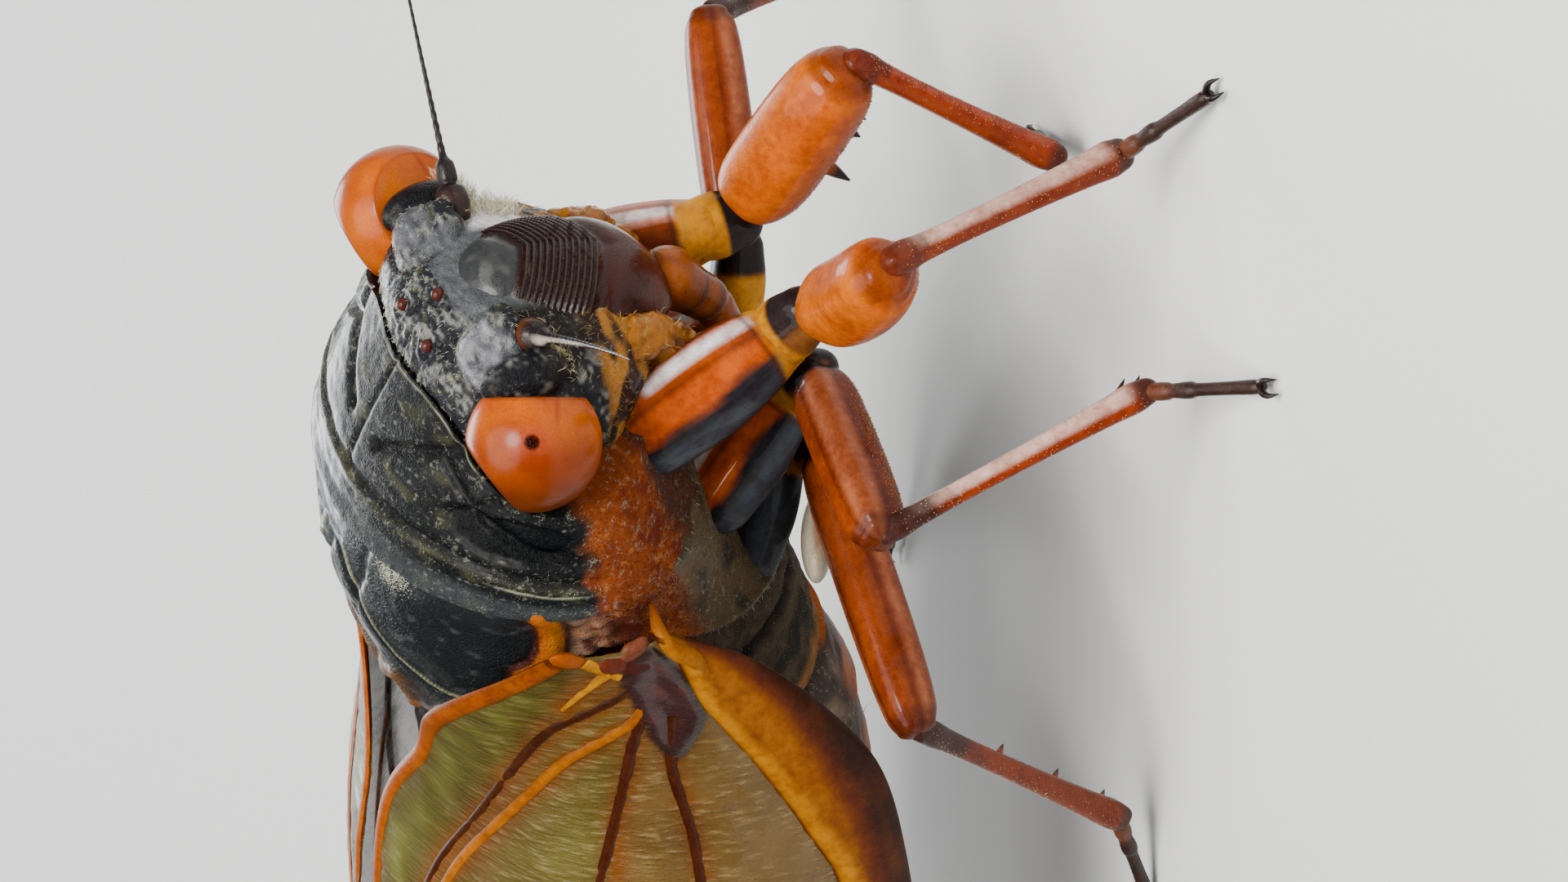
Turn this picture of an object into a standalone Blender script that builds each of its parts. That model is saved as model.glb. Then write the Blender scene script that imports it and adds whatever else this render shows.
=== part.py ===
"""A periodical cicada at life size, standing with its wings folded like a roof.

The body frame has its origin on the midline at the front edge of the pronotum, with x to the
cicada's left, y to the rear and z up. Lengths in the constants are millimetres.
"""

import math
from bisect import bisect_right

import bmesh
import bpy
from mathutils import Matrix, Vector
from mathutils.geometry import delaunay_2d_cdt

MM = 0.001
GAP = 0.3  # between neighbouring pieces

# Stance: the body axis over the floor at the pronotum's front edge, and how far the head tips up
STANCE_HEIGHT = 11.47
HEAD_UP = math.radians(3.1)

# Trunk: y, half width, height of the widest level, top and bottom
TRUNK = (
    (0.2, 3.3, 0.7, 2.7, -1.7),
    (1.3, 4.2, 0.6, 3.3, -1.9),
    (2.4, 4.65, 0.5, 3.8, -2.2),
    (3.5, 4.8, 0.4, 4.1, -2.8),
    (4.4, 4.4, 0.3, 4.15, -3.4),
    (5.6, 4.3, 0.1, 4.1, -3.8),
    (7.0, 4.15, -0.2, 3.7, -4.8),
    (8.4, 4.0, -0.5, 3.1, -5.3),
    (9.9, 3.95, -0.9, 2.3, -5.9),
    (12.5, 4.35, -1.5, 2.3, -6.6),
    (17.0, 4.3, -1.9, 2.0, -6.7),
    (20.5, 3.6, -2.0, 1.2, -5.9),
    (23.5, 2.2, -2.1, 0.0, -4.5),
    (25.4, 0.9, -2.2, -1.2, -3.3),
)
# The metathorax under the roots of the wings
METATHORAX = (
    (4.0, 3.5, -0.2, 2.4, -3.0),
    (5.6, 3.8, -0.2, 2.45, -3.7),
    (7.4, 3.9, -0.4, 2.25, -5.0),
    (9.9, 3.95, -0.9, 2.2, -5.8),
)
TRUNK_SIDES = 32
COLLAR_Y = 3.55  # rear edge of the pronotum
COLLAR_WIDTH = 0.5
WAIST_Y = 9.9  # front of the abdomen
ABDOMEN_END_Y = 25.4
SEGMENTS = 9  # of the abdomen, each a low cone that laps over the next
# Grooves of the pronotum, from front to rear: y and degrees from the top
FISSURES = (((0.9, 22), (1.8, 34), (2.8, 62)), ((1.7, 50), (2.3, 64), (2.9, 84)))
SCUTELLUM = ((7.5, 1.15), (8.35, 0.0), (9.05, 0.7))  # y and x of the arms of its raised cross

# Joints round the trunk: degrees from the top, and y
NECK = ((0, 0.25), (30, 0.3), (62, 1.2), (85, 1.35), (120, 1.15), (180, 1.2))
SHIELD_REAR = (
    (0, 9.35), (20, 8.6), (36, 7.5), (52, 6.5), (68, 5.6), (84, 5.1), (100, 5.2), (125, 6.4), (180, 7.4)
)

# Head between the eyes, from the neck forward: y, half width, widest level, top and bottom
HEAD = (
    (-1.4, 1.75, 0.9, 1.35, -0.8),
    (-1.1, 2.35, 1.0, 1.85, -1.4),
    (-0.5, 2.95, 1.1, 2.35, -1.9),
    (0.3, 3.25, 1.0, 2.65, -2.25),
    (1.2, 3.2, 0.7, 2.6, -2.1),
)
EYE_CENTRE = Vector((3.45, -0.05, 1.31))
EYE_RADII = Vector((1.28, 1.33, 1.3))
EYE_BASE_WAY = Vector((-0.645, -0.713, -0.277))  # towards the flat side that meets the head
EYE_BASE = 0.86  # from the eye's centre to that side
LEDGE_CENTRE = Vector((2.55, -0.8, 1.1))  # edge of the head in front of each eye
LEDGE_RADII = Vector((0.5, 0.52, 1.0))
OCELLI = ((0.0, -1.12, 1.86), (0.62, -0.49, 2.34), (-0.62, -0.49, 2.34))
OCELLUS_RADIUS = 0.27
BROW_CENTRE = Vector((1.55, -1.3, 1.15))  # ledge over the root of each antenna
BROW_RADII = Vector((0.6, 0.5, 0.4))
LORUM_CENTRE = Vector((1.6, -0.1, -1.4))  # plate beside the lower end of the clypeus
LORUM_RADII = Vector((0.55, 0.5, 0.95))
CLYPEUS_CENTRE = Vector((0.0, -0.4, -0.72))
CLYPEUS_RADII = Vector((1.5, 1.1, 2.3))
CLYPEUS_TILT = math.radians(23)
CLYPEUS_RINGS = 23
CLYPEUS_RIDGE = 0.05
ROSTRUM = ((0.0, 0.7, -3.3), (0.0, 1.1, -3.65), (0.0, 1.8, -4.0), (0.0, 2.5, -4.25), (0.0, 3.5, -4.5))
ROSTRUM_RADII = (0.5, 0.52, 0.4, 0.36, 0.28)
ANTENNA_ROOT = Vector((2.0, -1.4, 0.75))
ANTENNA_WAY = Vector((0.79, -0.6, -0.1))
ANTENNA_LENGTH = 6.0
ANTENNA_RADIUS = 0.36  # of its thick first joint

# Legs: coxa root, trochanter and its end in the body frame, then knee, ankle and claw over the floor
LEGS = {
    "fore_right": (
        (-2.35, 1.6, -1.5), (-1.86, 0.7, -4.32), (-2.21, -0.03, -4.76),
        (-5.02, -4.13, 6.11), (-4.17, -4.36, 1.3), (-5.49, -6.63, 0.22),
    ),
    "fore_left": (
        (2.35, 1.6, -1.5), (1.6, 0.85, -4.15), (1.55, 0.8, -4.86),
        (0.62, -3.86, 4.76), (-0.45, -1.02, 0.8), (1.39, 0.17, 0.22),
    ),
    "mid_right": (
        (-1.9, 4.4, -3.0), (-1.29, 2.88, -4.8), (-1.88, 1.92, -5.1),
        (-6.44, 1.69, 6.85), (-6.48, -0.32, 1.5), (-8.69, -1.99, 0.22),
    ),
    "mid_left": (
        (1.9, 4.4, -3.0), (1.35, 2.94, -4.8), (1.9, 1.94, -5.09),
        (5.5, -1.18, 5.51), (8.0, 0.6, 1.0), (9.9, -0.5, 0.22),
    ),
    "hind_right": (
        (-1.5, 6.6, -3.7), (-0.82, 4.85, -4.75), (-1.4, 4.35, -5.4),
        (-7.06, 6.51, 6.09), (-5.94, 11.85, 0.95), (-6.13, 14.1, 0.22),
    ),
    "hind_left": (
        (1.5, 6.6, -3.7), (0.82, 4.85, -4.75), (1.4, 4.35, -5.4),
        (6.2, 7.8, 5.4), (6.04, 13.27, 1.0), (6.58, 15.94, 0.22),
    ),
}
# Radii of each leg pair: coxa, trochanter, femur at its root, middle and knee, tibia, tarsus
LEG_RADII = {
    "fore": (0.9, 0.55, 0.7, 1.06, 0.5, 0.38, 0.27),
    "mid": (0.75, 0.45, 0.45, 0.62, 0.42, 0.37, 0.27),
    "hind": (0.75, 0.45, 0.45, 0.6, 0.42, 0.37, 0.27),
}
LEG_SIDES = 10
# Spines under each femur and tibia: their share of its length, their own length and root radius
FEMUR_SPINES = {"fore": ((0.36, 0.7, 0.3), (0.6, 0.35, 0.26)), "mid": (), "hind": ()}
TIBIA_SPINES = {
    "fore": (), "mid": ((0.9, 0.5, 0.2),), "hind": ((0.4, 0.5, 0.2), (0.68, 0.5, 0.2), (0.92, 0.5, 0.2))
}
CLAW_REACH = 0.85
CLAW_SPREAD = 0.42
OPERCULUM_CENTRE = Vector((2.3, 7.9, -4.75))
OPERCULUM_RADII = Vector((1.5, 1.4, 0.42))
OPERCULUM_TILT = math.radians(24)

# Wing sheet: y, then x and z of the costal edge, of the bulge's guide point and of the dorsal edge
WING_SHEET = (
    (4.4, 4.95, -0.6, 5.1, 0.4, 4.85, 1.5),
    (5.6, 5.1, -2.3, 5.6, 0.1, 4.4, 2.35),
    (7.4, 5.45, -3.85, 6.2, 0.6, 2.9, 3.2),
    (9.0, 5.8, -4.75, 6.8, 1.5, 1.3, 3.2),
    (11.0, 6.2, -5.1, 7.2, 2.1, 0.4, 3.45),
    (14.0, 6.5, -5.3, 7.3, 2.5, 0.4, 3.8),
    (18.0, 6.5, -5.4, 7.0, 2.5, 0.4, 3.8),
    (24.0, 6.0, -5.1, 5.6, 2.0, 0.4, 3.3),
    (30.0, 5.2, -4.7, 4.6, 1.2, 0.4, 2.5),
    (36.0, 4.2, -4.2, 3.6, 0.3, 0.5, 1.7),
    (41.0, 3.4, -3.8, 2.8, -0.3, 0.55, 1.1),
)
WING_THICKNESS = 0.5
HINDWING_INSET = 1.06  # of the hindwing's middle under the forewing's
WING_STEP = 1.8  # between points on a wing's face
VEIN_HEIGHT = 0.2
VEIN_HALF_WIDTH = 0.32
# Outlines round each wing: y, and how far across the sheet from the costal to the dorsal edge
FOREWING = (
    (4.5, 0.0), (8.0, 0.0), (13.0, 0.0), (20.0, 0.0), (27.0, 0.0), (32.5, 0.02), (36.5, 0.12),
    (38.8, 0.28), (39.3, 0.4), (38.3, 0.54), (35.0, 0.72), (30.0, 0.86), (26.0, 0.94), (22.0, 0.985),
    (17.0, 1.0), (11.8, 1.0), (9.6, 0.98), (7.6, 0.98), (5.9, 0.97), (4.6, 0.93),
)
HINDWING = (
    (8.0, 0.16), (11.0, 0.13), (16.0, 0.14), (21.0, 0.18), (24.6, 0.26), (25.8, 0.38), (25.2, 0.5),
    (21.5, 0.57), (17.0, 0.58), (12.5, 0.54), (9.6, 0.48), (8.0, 0.42),
)
# Main veins, each a line of (y, across) on the sheet
FOREWING_VEINS = (
    # Radius, fused with the subcosta, to the front margin, then its sector
    ((5.2, 0.2), (6.6, 0.19), (8.5, 0.14), (11.0, 0.08), (16.0, 0.065), (22.0, 0.07), (27.0, 0.1)),
    ((18.0, 0.065), (23.0, 0.15), (28.5, 0.21), (32.5, 0.24), (35.6, 0.22)),
    # Media and its forks
    ((6.4, 0.38), (7.6, 0.4), (9.3, 0.355), (11.5, 0.33), (18.0, 0.34), (23.5, 0.3), (32.5, 0.36),
     (37.4, 0.36)),
    ((18.0, 0.34), (23.0, 0.42), (29.5, 0.47), (33.0, 0.51), (36.7, 0.5)),
    # Cubitus and its fork
    ((6.4, 0.38), (6.9, 0.5), (9.0, 0.52), (15.0, 0.56), (20.5, 0.56), (28.0, 0.63), (33.4, 0.66)),
    ((15.0, 0.56), (19.5, 0.7), (23.5, 0.79), (27.4, 0.82)),
    # Claval vein
    ((5.6, 0.52), (6.4, 0.68), (7.3, 0.75), (8.8, 0.775), (12.0, 0.85), (15.0, 0.91), (18.4, 0.985)),
    # Cross veins that close the rear cells
    ((23.5, 0.16), (24.0, 0.3)),
    ((29.0, 0.33), (29.5, 0.47)),
    ((24.5, 0.44), (24.0, 0.59)),
    # Ambient vein inside the outer margin
    ((32.5, 0.1), (35.6, 0.2), (37.3, 0.33), (37.2, 0.45), (34.6, 0.62), (30.5, 0.76), (25.0, 0.88),
     (19.5, 0.95)),
)
HINDWING_VEINS = (
    ((8.2, 0.28), (13.0, 0.22), (19.0, 0.24), (23.5, 0.32)),
    ((8.2, 0.3), (14.0, 0.34), (20.0, 0.38), (24.2, 0.42)),
    ((8.2, 0.34), (13.0, 0.43), (18.5, 0.5), (22.0, 0.5)),
)


def body_frame():
    """From the body frame, in millimetres, to the floor frame."""
    return Matrix.Translation((0, 0, STANCE_HEIGHT)) @ Matrix.Rotation(-HEAD_UP, 4, "X")


def smooth_at(y, stations):
    """The values at y on a smooth curve through stations, whose first value is their y."""
    ys = [station[0] for station in stations]
    y = min(max(y, ys[0]), ys[-1])
    i = min(bisect_right(ys, y) - 1, len(ys) - 2)
    before, start, end, after = (
        stations[max(i - 1, 0)], stations[i], stations[i + 1], stations[min(i + 2, len(ys) - 1)]
    )
    span = end[0] - start[0]
    t = (y - start[0]) / span
    values = []
    for k in range(1, len(start)):
        slope_in = (end[k] - before[k]) / (end[0] - before[0]) * span
        slope_out = (after[k] - start[k]) / (after[0] - start[0]) * span
        values.append(
            (2 * t**3 - 3 * t**2 + 1) * start[k]
            + (t**3 - 2 * t**2 + t) * slope_in
            + (3 * t**2 - 2 * t**3) * end[k]
            + (t**3 - t**2) * slope_out
        )
    return values


def section_point(stations, y, angle):
    """A point on a body section; the angle runs from the top, positive to the cicada's left."""
    half_width, level, top, bottom = smooth_at(y, stations)
    rise = top - level if math.cos(angle) > 0 else level - bottom
    return Vector((half_width * math.sin(angle), y, level + rise * math.cos(angle)))


def material(name, colour, roughness):
    made = bpy.data.materials.new(name)
    made.use_nodes = True
    shader = made.node_tree.nodes["Principled BSDF"]
    shader.inputs["Base Color"].default_value = (*colour, 1)
    shader.inputs["Roughness"].default_value = roughness
    made.diffuse_color = (*colour, 1)
    return made


def add_object(name, bm, look, collection):
    """A mesh object from a bmesh built in millimetres, with its faces turned outward."""
    bmesh.ops.recalc_face_normals(bm, faces=bm.faces)
    if bm.calc_volume(signed=True) < 0:
        bmesh.ops.reverse_faces(bm, faces=bm.faces)
    bmesh.ops.scale(bm, vec=(MM, MM, MM), verts=bm.verts)
    mesh = bpy.data.meshes.new(name)
    bm.to_mesh(mesh)
    bm.free()
    mesh.shade_smooth()
    mesh.set_sharp_from_angle(angle=math.radians(40))
    if look:
        mesh.materials.append(look)
    made = bpy.data.objects.new(name, mesh)
    collection.objects.link(made)
    return made


def shaped_sphere(rings, sides, place):
    """A UV sphere whose points go where place puts them, by ring (0 and rings + 1 are the poles)."""
    bm = bmesh.new()
    bmesh.ops.create_uvsphere(bm, u_segments=sides, v_segments=rings + 1, radius=1)
    for vert in bm.verts:
        ring = round(math.acos(max(-1.0, min(1.0, vert.co.z))) / math.pi * (rings + 1))
        vert.co = place(ring, math.atan2(vert.co.y, vert.co.x))
    return bm


def level(y, angle):
    """The relief of a plain surface."""
    return 0.0


def loft(stations, front, rear, rings, relief=level, sides=TRUNK_SIDES):
    """A closed length of the body between two joints, each a function of the angle that gives y.

    The relief raises the surface, in millimetres, as a function of y and the angle.
    """

    def place(ring, angle):
        if ring in (0, rings + 1):
            ends = front if ring == 0 else rear
            corners = [section_point(stations, ends(a), a) for a in (0, math.pi)]
            return (corners[0] + corners[1]) / 2
        t = (ring - 1) / (rings - 1)
        y = front(angle) * (1 - t) + rear(angle) * t
        out = Vector((math.sin(angle), 0, math.cos(angle)))
        return section_point(stations, y, angle) + out * relief(y, angle)

    return shaped_sphere(rings, sides, place)


def ellipsoid(centre, radii, rings, sides, turn=Matrix(), ridge=0.0):
    """An ellipsoid whose poles lie on z before it is turned, with a ridge on every second ring."""

    def place(ring, angle):
        lie = math.pi * ring / (rings + 1)
        around = math.sin(lie) + ridge * (ring % 2) * (0.2 < ring / rings < 0.75)
        point = Vector((around * math.cos(angle), around * math.sin(angle), math.cos(lie)))
        return centre + turn @ Vector(p * r for p, r in zip(point, radii))

    return shaped_sphere(rings, sides, place)


def groove_depth(y, angle, lines, radius):
    """From 1 in the middle of a groove to 0 beside it; its lines run over y and degrees."""
    spot = Vector((y, abs(angle) * radius))
    flat = [[Vector((a, math.radians(b) * radius)) for a, b in line] for line in lines]
    return max(0.0, 1 - distance_to(spot, flat) / 0.45)


def pronotum_relief(y, angle):
    """The raised collar at the rear, the groove before it and the oblique fissures."""
    fade = 1 if abs(angle) < math.radians(95) else 0
    if y > COLLAR_Y - COLLAR_WIDTH:
        return 0.1 * fade
    if y > COLLAR_Y - 1.9 * COLLAR_WIDTH:
        return -0.1 * fade
    return -0.2 * fade * groove_depth(y, angle, FISSURES, 4.3)


def abdomen_relief(y, angle):
    """Each segment widens to the rear and laps over the next."""
    along = (y - WAIST_Y) / (ABDOMEN_END_Y - WAIST_Y) * SEGMENTS
    return 0.16 * (along % 1.0) - 0.1 if along < SEGMENTS - 0.2 else -0.1


def tube(path, radii, sides=LEG_SIDES, start_cap=0.0, end_cap=0.0, floor=None, widen=None):
    """A tapered tube along a path; the caps bulge by their share of the end radius."""
    centres = [Vector(point) for point in path]
    radii = list(radii)
    if start_cap:
        way = (centres[0] - centres[1]).normalized()
        centres.insert(0, centres[0] + way * radii[0] * start_cap * 0.8)
        radii.insert(0, radii[0] * 0.6)
    if end_cap:
        way = (centres[-1] - centres[-2]).normalized()
        centres.append(centres[-1] + way * radii[-1] * end_cap * 0.8)
        radii.append(radii[-1] * 0.6)
    rings = len(centres)
    ways = []
    for i in range(rings):
        before, after = centres[max(i - 1, 0)], centres[min(i + 1, rings - 1)]
        ways.append((after - before).normalized())
    side = Vector((0, 0, 1)) if abs(ways[0].z) < 0.9 else Vector((0, 1, 0))
    side = Vector(widen[0]) if widen else side
    stretch = widen[1] if widen else 1.0

    def place(ring, angle):
        if ring in (0, rings + 1):
            i = 0 if ring == 0 else rings - 1
            cap = start_cap if ring == 0 else end_cap
            reach = radii[i] / 0.6 * cap * 0.2 * (1 if ring else -1)
            point = centres[i] + ways[i] * reach
        else:
            i = ring - 1
            up = (side - ways[i] * side.dot(ways[i])).normalized()
            across = ways[i].cross(up)
            point = centres[i] + (
                up * math.cos(angle) * stretch + across * math.sin(angle)
            ) * radii[i]
        if floor is not None:
            point.z = max(point.z, floor)
        return point

    return shaped_sphere(rings, sides, place)


def carve(target, cutters):
    """Cuts each cutter out of the target for good and keeps the largest closed surface."""
    for bm in cutters:
        cutter = add_object("cutter", bm, None, guides)
        cut = target.modifiers.new("socket", "BOOLEAN")
        cut.operation = "DIFFERENCE"
        cut.solver = "EXACT"
        cut.object = cutter
        apply_modifiers(target)
        bpy.data.objects.remove(cutter)
    keep_largest(target)


def fuse(target, pieces, solver="EXACT"):
    """Joins closed pieces to the target in one union."""
    group = bpy.data.collections.new("pieces")
    bpy.context.scene.collection.children.link(group)
    for bm in pieces:
        add_object("piece", bm, None, group)
    union = target.modifiers.new("fused", "BOOLEAN")
    union.operation = "UNION"
    union.solver = solver
    union.operand_type = "COLLECTION"
    union.collection = group
    apply_modifiers(target)
    for piece in list(group.objects):
        bpy.data.objects.remove(piece)
    bpy.data.collections.remove(group)
    keep_largest(target)


def apply_modifiers(target):
    """Gives an object the mesh that its modifiers make."""
    depsgraph = bpy.context.evaluated_depsgraph_get()
    depsgraph.update()
    made = bpy.data.meshes.new_from_object(target.evaluated_get(depsgraph))
    target.modifiers.clear()
    target.data = made


def keep_largest(target):
    """Drops every loose surface but the largest."""
    bm = bmesh.new()
    bm.from_mesh(target.data)
    bmesh.ops.remove_doubles(bm, verts=bm.verts, dist=0.002 * MM)
    left = set(bm.verts)
    surfaces = []
    while left:
        group = set()
        edge = [left.pop()]
        while edge:
            vert = edge.pop()
            group.add(vert)
            for near in vert.link_edges:
                other = near.other_vert(vert)
                if other in left:
                    left.discard(other)
                    edge.append(other)
        surfaces.append(group)
    largest = max(surfaces, key=len)
    bmesh.ops.delete(bm, geom=[vert for vert in bm.verts if vert not in largest], context="VERTS")
    bmesh.ops.triangulate(bm, faces=bm.faces)
    bm.to_mesh(target.data)
    bm.free()
    target.data.shade_smooth()
    target.data.set_sharp_from_angle(angle=math.radians(40))


def grown(radii, by=GAP):
    return Vector(radius + by for radius in radii)


def neck_joint(angle):
    """The front edge of the pronotum, which steps back behind each eye."""
    return smooth_at(abs(math.degrees(angle)), NECK)[0]


def collar_joint(angle):
    return COLLAR_Y


def shield_joint(angle):
    """The rear of the mesothorax, with the tongue of the scutellum on top."""
    return smooth_at(abs(math.degrees(angle)), SHIELD_REAR)[0]


def wing_root_front(angle):
    return METATHORAX[0][0]


def waist_joint(angle):
    return WAIST_Y


def abdomen_end(angle):
    return ABDOMEN_END_Y


def shifted(joint, by):
    return lambda angle: joint(angle) + by


def head_front(angle):
    return HEAD[0][0]


def clearance(y, angle):
    return 0.7 * GAP


def build_trunk():
    """The head, thorax and abdomen, parted at their joints."""
    half = GAP / 2
    lengths = {
        "head": (HEAD, head_front, shifted(neck_joint, -1.5 * GAP), 8, level),
        "pronotum": (TRUNK, neck_joint, shifted(collar_joint, -half), 10, pronotum_relief),
        "mesothorax": (TRUNK, shifted(collar_joint, half), shield_joint, 8, level),
        "metathorax": (METATHORAX, wing_root_front, shifted(waist_joint, -half), 6, level),
        "abdomen": (TRUNK, shifted(waist_joint, half), abdomen_end, 2 * SEGMENTS, abdomen_relief),
    }
    made = {}
    for name, (stations, front, rear, rings, relief) in lengths.items():
        look = orange if name == "metathorax" else black
        made[name] = add_object(name, loft(stations, front, rear, rings, relief), look, parts)
    return made


def on_side(point, side):
    """A point given for the cicada's left, on either side."""
    return Vector((point[0] * side, point[1], point[2]))


def eye_shape(side, grow=0.0):
    """An eye, round but for the flat side that meets the head."""
    centre = on_side(EYE_CENTRE, side)
    way = on_side(EYE_BASE_WAY, side)
    bm = ellipsoid(centre, grown(EYE_RADII, grow), 13, 20)
    for vert in bm.verts:
        over = (vert.co - centre).dot(way) - EYE_BASE - grow
        vert.co -= way * max(0.0, over)
    return bm


def clypeus_shape(grow=0.0):
    turn = Matrix.Rotation(CLYPEUS_TILT, 3, "X")
    radii = grown(CLYPEUS_RADII, grow)
    if grow:
        return ellipsoid(CLYPEUS_CENTRE, radii, 11, 20, turn)
    return ellipsoid(CLYPEUS_CENTRE, radii, CLYPEUS_RINGS, 20, turn, CLYPEUS_RIDGE)


def face_plates():
    """The ocelli, the ledges by the eyes and antennae and the plates beside the clypeus."""
    plates = [ellipsoid(Vector(spot), grown((OCELLUS_RADIUS,) * 3, 0), 5, 10) for spot in OCELLI]
    for side in (1, -1):
        plates.append(ellipsoid(on_side(LEDGE_CENTRE, side), LEDGE_RADII, 7, 10))
        plates.append(ellipsoid(on_side(BROW_CENTRE, side), BROW_RADII, 5, 10))
        plates.append(ellipsoid(on_side(LORUM_CENTRE, side), LORUM_RADII, 7, 10))
    return plates


def opercula():
    """The plates that cover the hearing organs on the underside of the metathorax."""
    plates = []
    for side in (1, -1):
        turn = Matrix.Rotation(-OPERCULUM_TILT * side, 3, "Y")
        plates.append(ellipsoid(on_side(OPERCULUM_CENTRE, side), OPERCULUM_RADII, 9, 16, turn))
    return plates


def scutellum_arms():
    """The raised cross at the rear of the mesothorax, as two crossing tubes."""
    arms = []
    for side in (1, -1):
        path = []
        for k, (y, x) in enumerate(SCUTELLUM):
            width, middle, top, _ = smooth_at(y, TRUNK)
            x *= side if k == 0 else -side
            path.append((x, y, middle + (top - middle) * math.sqrt(1 - (x / width) ** 2) - 0.12))
        arms.append(tube(path, (0.26, 0.36, 0.28), 8, start_cap=1, end_cap=1))
    return arms


def antenna_path(side):
    root = on_side(ANTENNA_ROOT, side)
    way = on_side(ANTENNA_WAY, side).normalized()
    return [root + way * ANTENNA_LENGTH * share for share in (-0.05, 0.09, 0.12, 0.4, 0.7, 1.0)]


def build_head_pieces():
    for side, word in ((1, "left"), (-1, "right")):
        add_object(f"eye_{word}", eye_shape(side), red, parts)
        radii = (ANTENNA_RADIUS, ANTENNA_RADIUS, 0.27, 0.25, 0.2, 0.08)
        add_object(f"antenna_{word}", tube(antenna_path(side), radii, 8), black, parts)
    add_object("clypeus", clypeus_shape(), brown, parts)
    add_object("rostrum", tube(ROSTRUM, ROSTRUM_RADII, 10, end_cap=0.6), brown, parts)


def antenna_socket(side):
    path = antenna_path(side)
    start = path[0] - (path[1] - path[0]).normalized() * GAP
    radius = ANTENNA_RADIUS + GAP
    return tube((start, path[1] * 2 - path[0]), (radius, radius), 12)


def build_leg(name, joints, radii):
    """One leg in four pieces, each ending in a ball that the next one meets."""
    to_floor = body_frame()
    root, trochanter, hip = (to_floor @ Vector(point) for point in joints[:3])
    knee, ankle, claw = (Vector(point) for point in joints[3:])
    coxa_r, hip_r, femur_root, femur_mid, knee_r, tibia_r, tarsus_r = radii
    pair, word = name.split("_")
    path = (root, root.lerp(trochanter, 0.5), root.lerp(trochanter, 0.85), trochanter, hip)
    coxa_radii = (coxa_r, coxa_r, coxa_r * 0.85, hip_r * 1.1, hip_r)
    add_object(f"{pair}_coxa_{word}", tube(path, coxa_radii, end_cap=1), orange, parts)

    femur = (knee - hip).normalized()
    start = hip + femur * (hip_r + GAP)
    middle = (0.55, 0.95, 1.0, 0.95, 0.66)
    radii = [femur_root + (femur_mid - femur_root) * share for share in middle[:2]]
    radii = [femur_root, *radii, *(femur_mid * share for share in middle[2:]), knee_r, knee_r]
    path = [start.lerp(knee, share) for share in (0, 0.12, 0.28, 0.5, 0.68, 0.83, 0.94, 1)]
    thigh = add_object(f"{pair}_femur_{word}", tube(path, radii, end_cap=1), orange, parts)

    shin = (ankle - knee).normalized()
    inner = (shin - femur * shin.dot(femur)).normalized()
    spines = [
        spine(start.lerp(knee, share) + inner * femur_mid * 0.75, inner - femur * 0.3, length, root_r)
        for share, length, root_r in FEMUR_SPINES[pair]
    ]
    if spines:
        fuse(thigh, spines)

    start = knee + shin * (knee_r + 1.3 * GAP)
    path = [start.lerp(ankle, share) for share in (0, 0.15, 0.5, 0.85, 1)]
    tibia_radii = (tibia_r * 0.9, tibia_r, tibia_r * 0.92, tibia_r, tibia_r * 1.05)
    lower = add_object(f"{pair}_tibia_{word}", tube(path, tibia_radii, end_cap=1), orange, parts)
    inner = (shin * shin.dot(femur) - femur).normalized()
    spines = [
        spine(start.lerp(ankle, share) + inner * tibia_r * 0.5, inner + shin, length, root_r)
        for share, length, root_r in TIBIA_SPINES[pair]
    ]
    if spines:
        fuse(lower, spines)

    foot = (claw - ankle).normalized()
    start = ankle + foot * (tibia_r * 1.05 + GAP)
    path = [start.lerp(claw, share) for share in (0, 0.14, 0.24, 0.4, 0.5, 0.8, 1)]
    tarsus_radii = [tarsus_r * share for share in (0.95, 1.1, 0.92, 1.1, 0.92, 1.05, 1)]
    toe = add_object(
        f"{pair}_tarsus_{word}", tube(path, tarsus_radii, 8, end_cap=0.6, floor=0), black, parts
    )
    ahead = Vector((foot.x, foot.y, 0)).normalized()
    claws = []
    for side in (1, -1):
        spread = Vector((-ahead.y, ahead.x, 0)) * CLAW_SPREAD * side
        bend = claw + ahead * CLAW_REACH * 0.5 + spread * 0.8
        tip = claw + ahead * CLAW_REACH + spread + Vector((0, 0, -0.12))
        claws.append(tube((claw, bend, tip), (0.2, 0.18, 0.07), 6, floor=0.02))
    fuse(toe, claws, "MANIFOLD")


def spine(root, way, length, radius):
    """A tapered spine."""
    tip = root + way.normalized() * (length + radius)
    return tube((root, root.lerp(tip, 0.5), tip), (radius, radius * 0.7, radius * 0.2), 6)


def coxa_socket(name):
    """The hollow in the trunk that a coxa's root sits in."""
    pair = name.split("_")[0]
    root, trochanter = (Vector(point) for point in LEGS[name][:2])
    way = (trochanter - root).normalized()
    radius = LEG_RADII[pair][0] + GAP
    return tube((root - way * GAP, root + way * 4), (radius, radius), 12)


def sheet_point(y, across, side):
    """A point on the middle of the forewing's sheet."""
    costa_x, costa_z, guide_x, guide_z, dorsal_x, dorsal_z = smooth_at(y, WING_SHEET)
    t = across
    x = (1 - t) ** 2 * costa_x + 2 * t * (1 - t) * guide_x + t**2 * dorsal_x
    z = (1 - t) ** 2 * costa_z + 2 * t * (1 - t) * guide_z + t**2 * dorsal_z
    return Vector((x * side, y, z))


def sheet_normal(y, across, side):
    """The sheet's outward normal."""
    along = sheet_point(y + 0.05, across, side) - sheet_point(y - 0.05, across, side)
    over = sheet_point(y, across + 0.01, side) - sheet_point(y, across - 0.01, side)
    return along.cross(over).normalized() * side


def sheet_width(y):
    """The length of the sheet's section at y, from the costal to the dorsal edge."""
    marks = [sheet_point(y, k / 8, 1) for k in range(9)]
    return sum((end - start).length for start, end in zip(marks, marks[1:]))


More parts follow.
